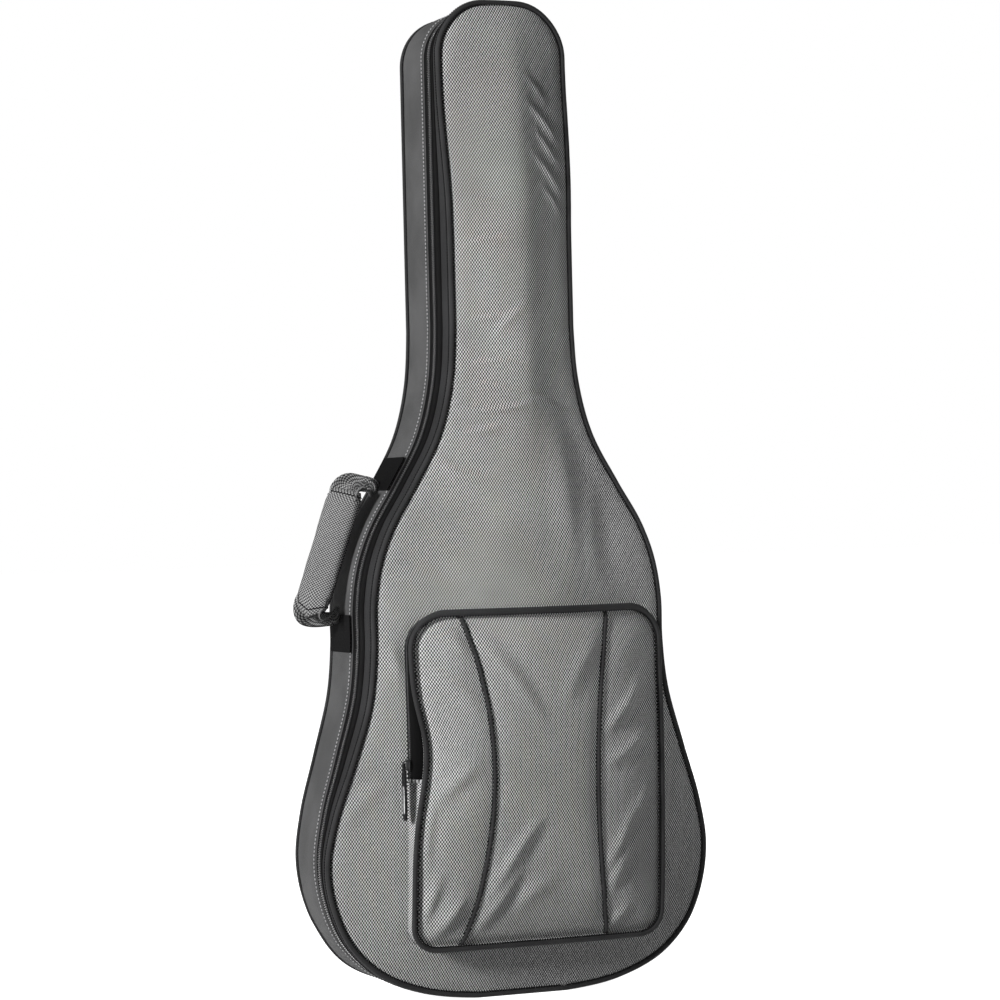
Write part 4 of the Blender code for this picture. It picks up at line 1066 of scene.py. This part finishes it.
def make_pocket():
    loop = POCKET
    base = front_base(loop.p)
    foot = np.where(zipped(loop.p), 0.0128, 0.0008)

    def ring(inset, y, share):
        p = loop.p - loop.n * inset
        return np.stack([p[:, 0] + slack(p) * share, y, p[:, 1]], 1)

    # The wall from its foot to the piping, with a soft inward sag.
    wall = [ring(0.0022, base - foot, 0.0), ring(0.0, base - foot, 0.0)]
    for share in (0.25, 0.5, 0.75):
        depth = foot + (POCKET_DEPTH - 0.0006 - foot) * share
        wall.append(ring(0.0012 * math.sin(math.pi * share), base - depth, share))
    wall.append(ring(0.0006, base - POCKET_DEPTH + 0.0006, 1.0))
    wall.append(ring(0.0026, base - POCKET_DEPTH + 0.0010, 1.0))
    rows = [np.array([layer[k] for layer in wall]) for k in range(len(loop.p))]
    wall_skin = solid(rows, closed=True, length=loop.s)
    obj = build("pocket_gusset_cloth", wall_skin, WEAVE, peel())

    # The face: rings that shrink towards the middle line.
    shape = Shape()
    insets = np.concatenate([[0.0030, 0.0040, 0.0052, 0.0066, 0.0084], np.linspace(0.0115, 0.130, 40)])
    columns = len(loop.p)
    half = np.array([POCKET_HALF, POCKET_SPAN.y / 2])
    rings, flat = [], []
    for inset in insets:
        scale = (half - inset) / half
        q = POCKET_CENTRE + (loop.p - POCKET_CENTRE) * scale
        near = loop.p - loop.n * min(inset, 0.02)
        q = q * ease((inset - 0.004) / 0.02) + near * (1 - ease((inset - 0.004) / 0.02))
        flat.append(q)
    flat.append(POCKET_CENTRE + (loop.p - POCKET_CENTRE) * np.array(LAST_RING))
    for q in flat:
        rings.append(np.stack([q[:, 0] + slack(q), pocket_face(q), q[:, 1]], 1))
    rings[0][:, 1] = front_base(flat[0]) - POCKET_DEPTH + 0.0008
    verts = [tuple(p) for r in rings for p in r]
    faces = grid_faces(len(rings), columns, False, True)
    faces.append(tuple((len(rings) - 1) * columns + k for k in range(columns)))
    turned = [tuple(reversed(f)) for f in faces]
    uv = [tuple(p) for q in flat for p in q]
    shape.add(verts, faces, uv)
    back = [(x, y + POCKET_SKIN, z) for x, y, z in verts]
    first = shape.add(back, turned, uv)
    shape.f += [(k, (k + 1) % columns, (k + 1) % columns + first, k + first) for k in range(columns)]
    obj = build("pocket_panel_cloth", shape, WEAVE, peel(), ["pocket_panel"])

    lean = slack(loop.p)
    points = np.stack([loop.p[:, 0] + lean, base - POCKET_DEPTH - 0.0026, loop.p[:, 1]], 1)
    thick = 0.0027 + 0.0010 * ease((loop.p[:, 1] - (POCKET_HIGH - 0.012)) / 0.012)
    wobble = 1 + 0.04 * undulation(points * 60, 1.0, 13)
    build(
        "pocket_piping_cord", tube(points, thick * wobble, 12, True), PIPING, peel(),
        ["pocket_piping"]
    )

    # Near-solid dark lines at both edges of the pocket piping: partly stitching, partly painted shadow in the
    # gaps beside the cord.
    stitches = Shape()
    for out, behind in ((-0.0034, -0.0030), (0.0005, 0.0010)):
        places, ways, ups = along_path(loop, PIPING_STITCH_AND_SHADOW_PITCH, out, 0.0)
        places[:, 1] = front_base(places[:, [0, 2]]) - POCKET_DEPTH + behind
        places[:, 0] += slack(places[:, [0, 2]])
        dashes(places, ways, ups, *PIPING_STITCH_AND_SHADOW_DASH, stitches)
    build("pocket_piping_stitches_and_painted_shadow", stitches, DARK_THREAD, peel())

    make_pocket_zip()

    for name, side in (("left", -1), ("right", 1)):
        zs = np.linspace(POCKET_LOW + 0.0050, POCKET_HIGH - 0.0050, 90)
        p = np.stack([POCKET_X + side * style_x(zs, side), zs], 1)
        points = upright(p, pocket_face(p) - 0.0012)
        build(
            f"style_piping_{name}_cord", tube(points, STYLE_RADIUS, 10), PIPING, peel(),
            [f"style_piping_{name}"]
        )
        t = np.gradient(points, axis=0)
        t /= np.linalg.norm(t, axis=1)[:, None]
        up = np.tile([0.0, -1.0, 0.0], (len(points), 1))
        shape = Shape()
        for off in (-0.0026, 0.0026):
            p2 = p + np.array([off, 0.0])
            line = upright(p2, pocket_face(p2) - 0.0003)
            dashes(line, t, up, 0.0034, 0.0006, shape)
        build(f"style_piping_{name}_stitches", shape, DARK_THREAD, peel())


def make_pocket_zip():
    loop = POCKET
    keep = zipped(loop.p)
    order = np.where(keep)[0]
    run = Path(loop.p[order], closed=False)
    base = front_base(run.p)

    def strip(near, far, skin=(-0.0022, -0.0006)):
        rows = []
        for k in range(len(run.p)):
            (x, z), (nx, nz) = run.p[k], run.n[k]
            rows.append(
                [
                    (x + nx * d, base[k] - y, z + nz * d)
                    for d, y in ((skin[0], near), (skin[1], near), (skin[1], far), (skin[0], far))
                ]
            )
        return solid(rows, length=run.s)

    build(
        "pocket_tape_inner_cloth", strip(0.0008, POCKET_CHAIN_MID - GAP), TAPE, "lid",
        ["pocket_zip_tape"]
    )

    lean = slack(run.p)
    rows = []
    for k in range(len(run.p)):
        (x, z), (nx, nz) = run.p[k], run.n[k]
        layers = ((-0.0022, POCKET_CHAIN_MID + GAP, 0.0), (-0.0004, POCKET_CHAIN_MID + GAP, 0.0))
        layers += ((0.0010, 0.0126, 0.02), (0.0012, 0.0150, 0.5), (0.0006, 0.0166, 0.85))
        layers += ((-0.0008, 0.0166, 0.85), (-0.0006, 0.0150, 0.5), (-0.0010, 0.0126, 0.02))
        rows.append([(x + nx * d + lean[k] * share, base[k] - y, z + nz * d) for d, y, share in layers])
    outer_tape = solid(rows, length=run.s)
    build("pocket_tape_outer_cloth", outer_tape, TAPE, peel())

    def middle(place):
        k = np.argmin(((run.p - place) ** 2).sum(1))
        return base[k] - POCKET_CHAIN_MID

    inner = coil_teeth(run, POCKET_TOOTH_PITCH, 0.002, middle, 0.0026, 0.0004, 0.85)
    outer = coil_teeth(run, POCKET_TOOTH_PITCH, 0.0031, middle, -0.0026, 0.0004, 0.85)
    build("pocket_coil_inner", inner, COIL, "lid", ["pocket_chain_inner"])
    build("pocket_coil_outer", outer, COIL, peel(), ["pocket_chain_outer"])


# ---- sliders and pulls -----------------------------------------------------------------------


def moved(shape, matrix):
    shape.v = [tuple(matrix @ Vector(p)) for p in shape.v]
    return shape


def slider_shape():
    """A coil slider seen from outside: a crowned shoulder body and a bridge. Faces +X."""
    shape = Shape()
    outline = (
        (-0.0065, 0.0030), (-0.0052, 0.0040), (-0.0020, 0.0045),
        (0.0015, 0.0050), (0.0045, 0.0048), (0.0062, 0.0036),
    )
    layers = []
    for x, shrink in ((0.0001, 0.94), (0.0004, 1.0), (0.0011, 1.0), (0.0016, 0.86), (0.0018, 0.55)):
        right = [(x, half * shrink, z * shrink) for z, half in outline]
        left = [(x, -half * shrink, z * shrink) for z, half in reversed(outline)]
        layers.append(right + left)
    solid(layers, shape)
    bridge = []
    for k in range(9):
        a = math.pi * k / 8
        z, x = 0.0046 * math.cos(a), 0.0012 + 0.0060 * math.sin(a) ** 0.75
        way = np.array([0.0060 * math.cos(a), -0.0046 * math.sin(a)])
        way /= np.linalg.norm(way) + 1e-9
        side = np.array([-way[1], way[0]]) * 0.0006
        bridge.append(
            [
                (x + side[0], w, z + side[1])
                for w in (-0.0011, 0.0011)
            ] + [(x - side[0], w, z - side[1]) for w in (0.0011, -0.0011)]
        )
    solid(bridge, shape)
    return shape


def pull_shape(length, width, thick=0.0011):
    """A drop-shaped pull hanging from its pin, facing +X."""
    shape = Shape()
    outline = [
        (-0.0019, 0.0024), (0.0019, 0.0024), (0.0024, 0.0), (0.0021, -0.0036), (width / 2, -0.0095),
        (width / 2 * 1.06, -length * 0.8), (width * 0.38, -length * 0.97), (0.0, -length)
    ]
    outline += [(-a, b) for a, b in reversed(outline[2:-1])]
    layers = []
    for x, shrink in ((-thick, 0.90), (-thick * 0.6, 1.0), (thick * 0.6, 1.0), (thick, 0.90)):
        middle = -length / 2
        layers.append(
            [
                (PIN_HEIGHT + x, y * shrink, middle + (z - middle) * (0.985 if shrink < 1 else 1.0))
                for y, z in outline
            ]
        )
    solid(layers, shape)
    return shape


def make_sliders():
    x = NECK_HALF + SLIDER_LIFT
    for name, z in (("upper", SLIDER_HIGH_Z), ("lower", SLIDER_LOW_Z)):
        place = Matrix.Translation((x, ZIP_Y, z))
        build(
            f"zip_slider_{name}_body", moved(slider_shape(), place), ENAMEL, f"{name}_slider",
            [f"zip_slider_{name}"], bevel=0.0002
        )
        build(
            f"zip_pull_{name}_tab", moved(pull_shape(0.026, 0.0070), place), ENAMEL, f"{name}_pull",
            [f"zip_pull_{name}"], bevel=0.0002
        )
    edge = POCKET_X - POCKET_HALF
    low = POCKET_ZIP_END + 0.018
    y = float(front_base(np.array([[edge, low]]))[0]) - POCKET_CHAIN_MID
    place = Matrix.Translation((edge - 0.0021, y, low)) @ Matrix.Rotation(math.pi, 4, "Z")
    build(
        "pocket_slider_body", moved(slider_shape(), place), ENAMEL, "pocket_slider",
        ["pocket_slider"], bevel=0.0002
    )
    build(
        "pocket_pull_strap", moved(pull_shape(0.058, 0.0096, 0.0012), place), WEBBING, "pocket_pull",
        ["pocket_pull"], bevel=0.0002
    )
    plate = Shape()
    for side in (-1, 1):
        layers = []
        for x, shrink in ((0.0009, 1.0), (0.0015, 1.0), (0.0018, 0.8)):
            corners = ((1, 0.8), (0.8, 1), (-0.8, 1), (-1, 0.8), (-1, -0.8), (-0.8, -1), (0.8, -1), (1, -0.8))
            layers.append(
                [
                    (PIN_HEIGHT + side * x, 0.0028 * shrink * a, -0.036 + 0.0145 * (shrink * 0.4 + 0.6) * b)
                    for a, b in corners
                ]
            )
        solid(layers, plate)
    build("pocket_pull_plate", moved(plate, place), BRIGHT, "pocket_pull")


# ---- the carry handle ------------------------------------------------------------------------


def make_handle():
    up = (HANDLE_HIGH - HANDLE_LOW).normalized()
    out = Vector((-up.y, up.x))
    length = (HANDLE_HIGH - HANDLE_LOW).length

    def place(along, off, y):
        p = HANDLE_LOW + up * along + out * off
        return (p.x, HANDLE_Y + y, p.y)

    def tilted(along, off, across, through, turn):
        """A place in the grip's section: across its width and through its thickness."""
        c, s = math.cos(turn), math.sin(turn)
        return place(along, off + across * s + through * c, across * c - through * s)

    run = length - GRIP_START - GRIP_STOP
    rows = []
    count = 52
    for k in range(count + 1):
        t = k / count
        along = GRIP_START + run * t
        low, high = t * run, (1 - t) * run
        half = GRIP_HALF * (0.86 + 0.14 * min(min(low, high) / 0.016, 1.0) ** 0.6)
        deep = GRIP_DEEP * (0.35 + 0.65 * min(min(low, high) / 0.014, 1.0) ** 0.6)
        ring = []
        for j in range(36):
            a = 2 * math.pi * j / 36
            c, s = math.cos(a), math.sin(a)
            u = math.copysign(abs(c) ** 0.75, c)
            v = math.copysign(abs(s) ** 0.95, s)
            ripple = 1 + 0.05 * noise.noise(Vector((along * 45, u * 2, v * 2)))
            # The lower end is drawn to a point below its middle.
            point = 0.011 * (1 - abs(u)) * max(0.0, 1 - low / 0.020)
            ring.append(tilted(along - point, HANDLE_REACH, half * u * ripple, deep * v * ripple, GRIP_TURN))
        rows.append(ring)
    grip = solid(rows)
    obj = build("handle_grip_pad", grip, GRIP_WEAVE, "handle", ["handle_grip"])

    # Along the gusset, out from it, half width and how far it has twisted towards the grip.
    lower_route = (
        (0.0010, 0.0026, 0.0110, 0.0), (-0.0020, 0.0050, 0.0120, 0.0), (-0.0055, 0.0095, 0.0130, 0.15),
        (-0.0085, 0.0160, 0.0140, 0.40), (-0.0100, 0.0230, 0.0155, 0.70), (-0.0090, 0.0290, 0.0175, 0.95),
        (-0.0040, 0.0325, 0.0190, 1.0), (0.0060, 0.0340, 0.0185, 1.0), (0.0160, 0.0340, 0.0150, 1.0),
    )
    upper_route = (
        (0.0010, 0.0026, 0.0110, 0.0), (-0.0010, 0.0060, 0.0125, 0.0), (-0.0015, 0.0110, 0.0140, 0.15),
        (-0.0005, 0.0175, 0.0150, 0.40), (0.0015, 0.0245, 0.0160, 0.70), (0.0060, 0.0300, 0.0172, 0.95),
        (0.0130, 0.0335, 0.0178, 1.0), (0.0240, 0.0340, 0.0150, 1.0),
    )
    for name, route, far in (("lower", lower_route, False), ("upper", upper_route, True)):
        fine = []
        knots = [np.array(p) for p in route]
        for k in range(len(knots) - 1):
            p0, p1, p2, p3 = knots[max(k - 1, 0)], knots[k], knots[k + 1], knots[min(k + 2, len(knots) - 1)]
            for t in (0.0, 0.25, 0.5, 0.75):
                fine.append(
                    0.5 * (
                        2 * p1 + (p2 - p0) * t + (
                            2 * p0 - 5 * p1 + 4 * p2 - p3
                        ) * t * t + (3 * p1 - p0 - 3 * p2 + p3) * t**3
                    )
                )
        fine.append(knots[-1])
        path = [((length - a) if far else a, o, h, w) for a, o, h, w in fine]
        rings = []
        for k, (along, off, half, twist) in enumerate(path):
            before, after = path[max(k - 1, 0)], path[min(k + 1, len(path) - 1)]
            way = Vector((after[0] - before[0], after[1] - before[1], 0)).normalized()
            # The band's width starts along Y and turns with the grip.
            skew = (1 - twist) * (0.85 if far else -0.85)
            wide = Vector(
                (skew, math.sin(GRIP_TURN * twist), math.cos(GRIP_TURN * twist) - 0.35 * (1 - twist))
            )
            wide = (wide - way * wide.dot(way)).normalized()
            side = way.cross(wide)
            side = side if not far else -side
            crease = math.sin(math.pi * k / (len(path) - 1)) ** 0.7
            ring = []
            for skin, order in ((0.0012, range(21)), (-0.0012, range(20, -1, -1))):
                for j in order:
                    u = -1 + 2 * j / 20
                    curl = -0.0075 * abs(u) ** 3 * crease
                    curl += crease * (
                        0.0024 * math.sin(6.0 * u + 0.20 * k) + 0.0012 * math.sin(11 * u - 0.35 * k)
                    )
                    p = wide * (half * u) + side * (skin + curl)
                    ring.append(place(along + p.x, off + p.y, p.z))
            rings.append(ring)
        strap = solid(rings)
        nodes = ["handle_strap"] if not far else []
        foot = length if far else 0.0
        bend = ("shell", "handle", place(foot, 0.003, 0.0), place(foot, 0.018, 0.0))
        obj = build(f"handle_end_{name}", strap, GRIP_WEAVE, bend, nodes)

    edge = Shape()
    for side in (-1, 1):
        ts = np.arange(GRIP_START + 0.012, length - GRIP_STOP - 0.008, 0.0034)
        places = np.array([tilted(t, HANDLE_REACH, side * (GRIP_HALF - 0.0002), 0.0, GRIP_TURN) for t in ts])
        ways = np.tile(np.array([up.x, 0, up.y]), (len(ts), 1))
        one = np.array(tilted(0, 0, side, 0.0, GRIP_TURN)) - np.array(tilted(0, 0, 0.0, 0.0, GRIP_TURN))
        dashes(places, ways, np.tile(one, (len(ts), 1)), 0.0026, 0.0006, edge)
    for k in (2, count - 2):
        ring = np.array(rows[k])
        middle = ring.mean(0)
        seam = tube(middle + (ring - middle) * 1.012, 0.0007, 8, True)
        edge.add(seam.v, seam.f, seam.uv)
    build("handle_grip_stitches", edge, DARK_THREAD, "handle")

    for name, low, high in HANDLE_PATCHES:
        first, last = EDGE.s_at(high, -1), EDGE.s_at(low, -1)
        patch = EDGE.part(first, last, 0.0022)

        def pad(z):
            ys = np.linspace(GUSSET_REAR - 0.001, GUSSET_FRONT, 9)
            return [(0.0002, ys[0])] + [(0.0016, y) for y in ys] + [(0.0002, ys[-1])]

        build(
            f"handle_patch_{name}_webbing", band(patch, pad), VELVET, "shell",
            [f"handle_patch_{name}"], bevel=0.0003
        )


# ---- back straps and loop --------------------------------------------------------------------


def make_straps():
    skin = BACK_Y + 0.0002
    for name, side in (("left", -1), ("right", 1)):
        rows = []
        steps = 48
        for k in range(steps + 1):
            t = k / steps
            bow = STRAP_BOW * math.sin(math.pi * t)
            p = STRAP_TOP.lerp(STRAP_END, t) + Vector((bow, 0))
            half = 0.031 - 0.010 * t * t
            edge = min(t, 1 - t) * 0.354
            taper = 1 - 0.28 * (1 - min(edge / 0.030, 1.0)) ** 2
            thick = STRAP_THICK * (0.55 + 0.45 * math.sqrt(1 - (1 - min(edge / 0.022, 1.0)) ** 2))
            ring = []
            for j in range(17):
                u = -1 + 2 * j / 16
                v = (1 - abs(u) ** 5) ** 0.5
                groove = 0.18 * math.exp(-(((abs(u) - 0.80) / 0.06) ** 2))
                ring.append((side * (p.x + half * taper * u), skin + thick * max(v - groove, 0.0), p.y))
            ring += [(side * (p.x + half * taper * u), skin - 0.0001, p.y) for u in (0.9, 0.0, -0.9)]
            rows.append(ring)
        pad = solid(rows)
        obj = build(f"strap_pad_{name}_cloth", pad, SIDE, "shell", [f"strap_pad_{name}"])

        way = (STRAP_ANCHOR - STRAP_END).normalized()
        across = Vector((-way.y, way.x))
        start = STRAP_END + way * 0.0042
        length = (STRAP_ANCHOR - start).length
        lift = BACK_Y + 0.0036
        rows = []
        for k in range(30):
            t = k / 29
            p = start + way * length * t
            sag = 0.0004 * math.sin(9 * t)
            ring = []
            for turn, height in ((1, lift + WEBBING_THICK + sag), (-1, lift + sag)):
                for u in np.linspace(-turn, turn, 9):
                    x, z = p.x + across.x * WEBBING_WIDTH / 2 * u, p.y + across.y * WEBBING_WIDTH / 2 * u
                    ring.append((side * x, height - (0.0002 * abs(u) if turn > 0 else 0.0), z))
            rows.append(ring)
        web = solid(rows)
        build(f"strap_webbing_{name}_web", web, WEBBING, "shell", [f"strap_webbing_{name}"])

        patch = [
            STRAP_ANCHOR + Vector(o)
            for o in ((-0.020, 0.016), (0.014, 0.020), (0.030, -0.010), (0.006, -0.022))
        ]
        foot = Shape()
        layers = []
        middle = sum(patch, Vector((0, 0))) / 4
        for y, shrink in ((skin, 1.0), (skin + 0.0020, 1.0), (skin + 0.0026, 0.94)):
            layers.append(
                [
                    (side * (middle.x + (p.x - middle.x) * shrink), y, middle.y + (p.y - middle.y) * shrink)
                    for p in patch
                ]
            )
        solid(layers, foot)
        build(
            f"strap_anchor_{name}_cloth", foot, SIDE, "shell", [f"strap_anchor_{name}"],
            bevel=0.0006
        )

        middle = STRAP_END + way * ADJUSTER_REST
        frame_shape = Shape()
        height = lift + WEBBING_THICK / 2

        def bar(a0, a1, b0, b1, h0, h1):
            corners = [(a0, b0), (a0, b1), (a1, b1), (a1, b0)]
            layers = []
            for h in (h0, h1):
                layers.append(
                    [
                        (
                            side * (middle.x + way.x * a + across.x * b), height + h,
                            middle.y + way.y * a + across.y * b
                        )
                        for a, b in corners
                    ]
                )
            solid(layers, frame_shape)

        for sizes in ADJUSTER_BARS:
            bar(*sizes)
        build(
            f"strap_adjuster_{name}_frame", frame_shape, PLASTIC, f"adjuster_{name}",
            [f"strap_adjuster_{name}"], bevel=0.0005
        )

    yoke_points = [(-0.070, 0.577), (0.070, 0.577), (0.062, 0.606), (-0.062, 0.606)]
    layers = []
    for y, shrink in ((skin, 1.0), (skin + 0.0018, 1.0), (skin + 0.0024, 0.975)):
        layers.append(
            [(x * shrink, y, YOKE_Z + (z - YOKE_Z) * (1 - (1 - shrink) * 4)) for x, z in yoke_points]
        )
    build("strap_yoke_webbing", solid(layers), WEBBING, "shell", ["strap_yoke"], bevel=0.0004)
    lines = Shape()
    for z in (0.5805, 0.6020):
        xs = np.arange(-0.058, 0.058, 0.0042)
        n = len(xs)
        dashes(
            np.stack([xs, np.full(n, skin + 0.0024), np.full(n, z)], 1), np.tile([1.0, 0, 0], (n, 1)),
            np.tile([0, 1.0, 0], (n, 1)), 0.0028, 0.0004, lines
        )
    build("strap_yoke_stitches", lines, PALE_THREAD, "shell")

    route = [
        (BACK_Y + y, z)
        for y, z in (
            (0.0005, 0.978), (0.0040, 0.984), (0.0135, 0.998), (0.0160, 1.010), (0.0135, 1.022),
            (0.0040, 1.036), (0.0005, 1.042)
        )
    ]
    fine = smooth_run(route, 0.003)
    rows = []
    for k, p in enumerate(fine):
        before, after = fine[max(k - 1, 0)], fine[min(k + 1, len(fine) - 1)]
        way = (after - before).normalized()
        outwards = Vector((way.y, -way.x)) * 0.0018
        ring = [(x, p.x, p.y) for x in np.linspace(-0.0125, 0.0125, 9)]
        ring += [(x, p.x + outwards.x, p.y + outwards.y) for x in np.linspace(0.0125, -0.0125, 9)]
        rows.append(ring)
    loop = solid(rows)
    build("hang_loop_webbing", loop, WEBBING, "shell", ["hang_loop"])


# ---- the inside ------------------------------------------------------------------------------


def make_inside():
    notch = [
        (-0.052, 0.0572), (-0.0525, 0.030), (-0.052, 0.0135), (-0.0505, 0.0122), (-0.0330, 0.0122),
        (-0.0310, 0.0135), (-0.0285, 0.022), (-0.0245, 0.0290), (-0.0200, 0.0302)
    ]
    notch += [(-x, y) for x, y in reversed(notch)]
    layers = []
    for z, grow in (
        (-0.035, 0.97), (-0.032, 1.0), (-0.015, 1.0), (0.0, 1.0), (0.015, 1.0), (0.032, 1.0), (0.035, 0.97)
    ):
        layers.append([(x * grow, 0.0572 - (0.0572 - y) * grow, NECK_REST_Z + z) for x, y in notch])
    rest = build("neck_rest_pad", solid(layers), FOAM_CLOTH, "shell", ["neck_rest"])
    rows = []
    for k in range(13):
        t = -1 + 2 * k / 12
        ring = []
        for j in range(24):
            a = 2 * math.pi * j / 24
            c, s = math.cos(a), math.sin(a)
            u, v = math.copysign(abs(c) ** 0.35, c), math.copysign(abs(s) ** 0.35, s)
            shrink = (1 - abs(t) ** 8) ** 0.25 if abs(t) < 1 else 0.55
            ring.append((0.0645 * t, 0.028 + 0.0235 * u * shrink, 0.0285 + 0.0086 * v * shrink))
        rows.append(ring)
    pad = solid(rows)
    obj = build("tail_pad_cover", pad, FOAM_CLOTH, "shell", ["tail_pad"])
    for name, side, height, reach, body in (
        ("loop", -1, 0.0104, 0.066, "shell"), ("hook", 1, 0.0084, 0.050, "neck_strap")
    ):
        rows = []
        for k in range(17):
            x = side * (0.050 - reach * k / 16)
            half = 0.0188 * (1 - 0.25 * max(0.0, (k / 16 - 0.85) / 0.15) ** 2)
            ring = [(x, height + 0.0006, NECK_REST_Z + half * u) for u in np.linspace(-1, 1, 7)]
            ring += [(x, height - 0.0006, NECK_REST_Z + half * u) for u in np.linspace(1, -1, 7)]
            rows.append(ring)
        flap = solid(rows)
        build(
            f"neck_strap_{name}_web", flap, VELVET if name == "loop" else WEBBING, body,
            [f"neck_strap_{name}"]
        )


# ---- stage -----------------------------------------------------------------------------------

FLOOR_HALF = 30.0
AMBIENT = 0.10
KEY_PLACE, KEY_TARGET, KEY_SIZE, KEY_POWER = (-3.6, -1.35, 1.75), (0, 0, 0.55), 0.9, 205
RIM_PLACE, RIM_TARGET, RIM_SIZE, RIM_POWER = (2.4, 2.6, 2.2), (0, 0, 0.5), 1.6, 60
FILL_PLACE, FILL_TARGET, FILL_POWER = (0.9, -3.3, 0.9), (0.04, 0, 0.44), 130
FILL_CONE, FILL_SOFTNESS = math.radians(17), 0.4
CAMERA_YAW, CAMERA_PITCH, CAMERA_ROLL = (math.radians(a) for a in (-22.76, -0.25, -1.38))
CAMERA_TARGET, CAMERA_DISTANCE = (0.0091, 0, 0.5294), 3.507
CAMERA_LENS, CAMERA_SENSOR = 116.05, 36.0


def make_stage():
    mesh = bpy.data.meshes.new("floor")
    corners = [(x * FLOOR_HALF, y * FLOOR_HALF, 0) for x, y in ((-1, -1), (1, -1), (1, 1), (-1, 1))]
    mesh.from_pydata(corners, [], [(0, 1, 2, 3)])
    floor = bpy.data.objects.new("floor", mesh)
    bpy.context.scene.collection.objects.link(floor)
    n = Nodes("floor_paper", 0.9, specular=0.1)
    n.shader.inputs["Emission Color"].default_value = (1, 1, 1, 1)
    n.shader.inputs["Emission Strength"].default_value = 1.0
    mesh.materials.append(n.finish((0.86, 0.86, 0.86)))
    floor.visible_diffuse = False

    world = bpy.data.worlds.new("studio")
    bpy.context.scene.world = world
    world.use_nodes = True
    tree = world.node_tree
    dome = tree.nodes["Background"]
    dome.inputs["Color"].default_value = (1, 1, 1, 1)
    dome.inputs["Strength"].default_value = AMBIENT
    backdrop = tree.nodes.new("ShaderNodeBackground")
    backdrop.inputs["Color"].default_value = (1, 1, 1, 1)
    rays, choose = tree.nodes.new("ShaderNodeLightPath"), tree.nodes.new("ShaderNodeMixShader")
    tree.links.new(rays.outputs["Is Camera Ray"], choose.inputs[0])
    tree.links.new(dome.outputs[0], choose.inputs[1])
    tree.links.new(backdrop.outputs[0], choose.inputs[2])
    tree.links.new(choose.outputs[0], tree.nodes["World Output"].inputs["Surface"])
    bpy.context.scene.view_settings.view_transform = "Standard"

    def aimed(name, kind, place, target, power):
        light = bpy.data.lights.new(name, kind)
        light.energy = power
        obj = bpy.data.objects.new(name, light)
        obj.location = place
        obj.rotation_euler = (Vector(target) - Vector(place)).to_track_quat("-Z", "Y").to_euler()
        bpy.context.scene.collection.objects.link(obj)
        return light

    key = aimed("key", "AREA", KEY_PLACE, KEY_TARGET, KEY_POWER)
    key.shape, key.size = "DISK", KEY_SIZE
    fill = aimed("fill", "SPOT", FILL_PLACE, FILL_TARGET, FILL_POWER)
    fill.spot_size, fill.spot_blend, fill.shadow_soft_size = FILL_CONE, 1.0, FILL_SOFTNESS
    rim = aimed("rim", "AREA", RIM_PLACE, RIM_TARGET, RIM_POWER)
    rim.shape, rim.size = "DISK", RIM_SIZE


def make_camera():
    level = math.cos(CAMERA_PITCH)
    back = Vector((math.sin(CAMERA_YAW) * level, -math.cos(CAMERA_YAW) * level, math.sin(CAMERA_PITCH)))
    right = Vector((math.cos(CAMERA_YAW), math.sin(CAMERA_YAW), 0))
    up = back.cross(right)
    turn = Matrix((right, up, back)).transposed().to_4x4() @ Matrix.Rotation(CAMERA_ROLL, 4, "Z")
    data = bpy.data.cameras.new("camera")
    data.lens, data.sensor_width = CAMERA_LENS, CAMERA_SENSOR
    data.clip_start, data.clip_end = 0.05, 100.0
    camera = bpy.data.objects.new("camera", data)
    camera.matrix_world = Matrix.Translation(Vector(CAMERA_TARGET) + back * CAMERA_DISTANCE) @ turn
    bpy.context.scene.collection.objects.link(camera)
    bpy.context.scene.camera = camera


make_tub()
make_zip()
make_lid()
make_pocket()
make_sliders()
make_handle()
make_straps()
make_inside()
make_stage()
make_camera()
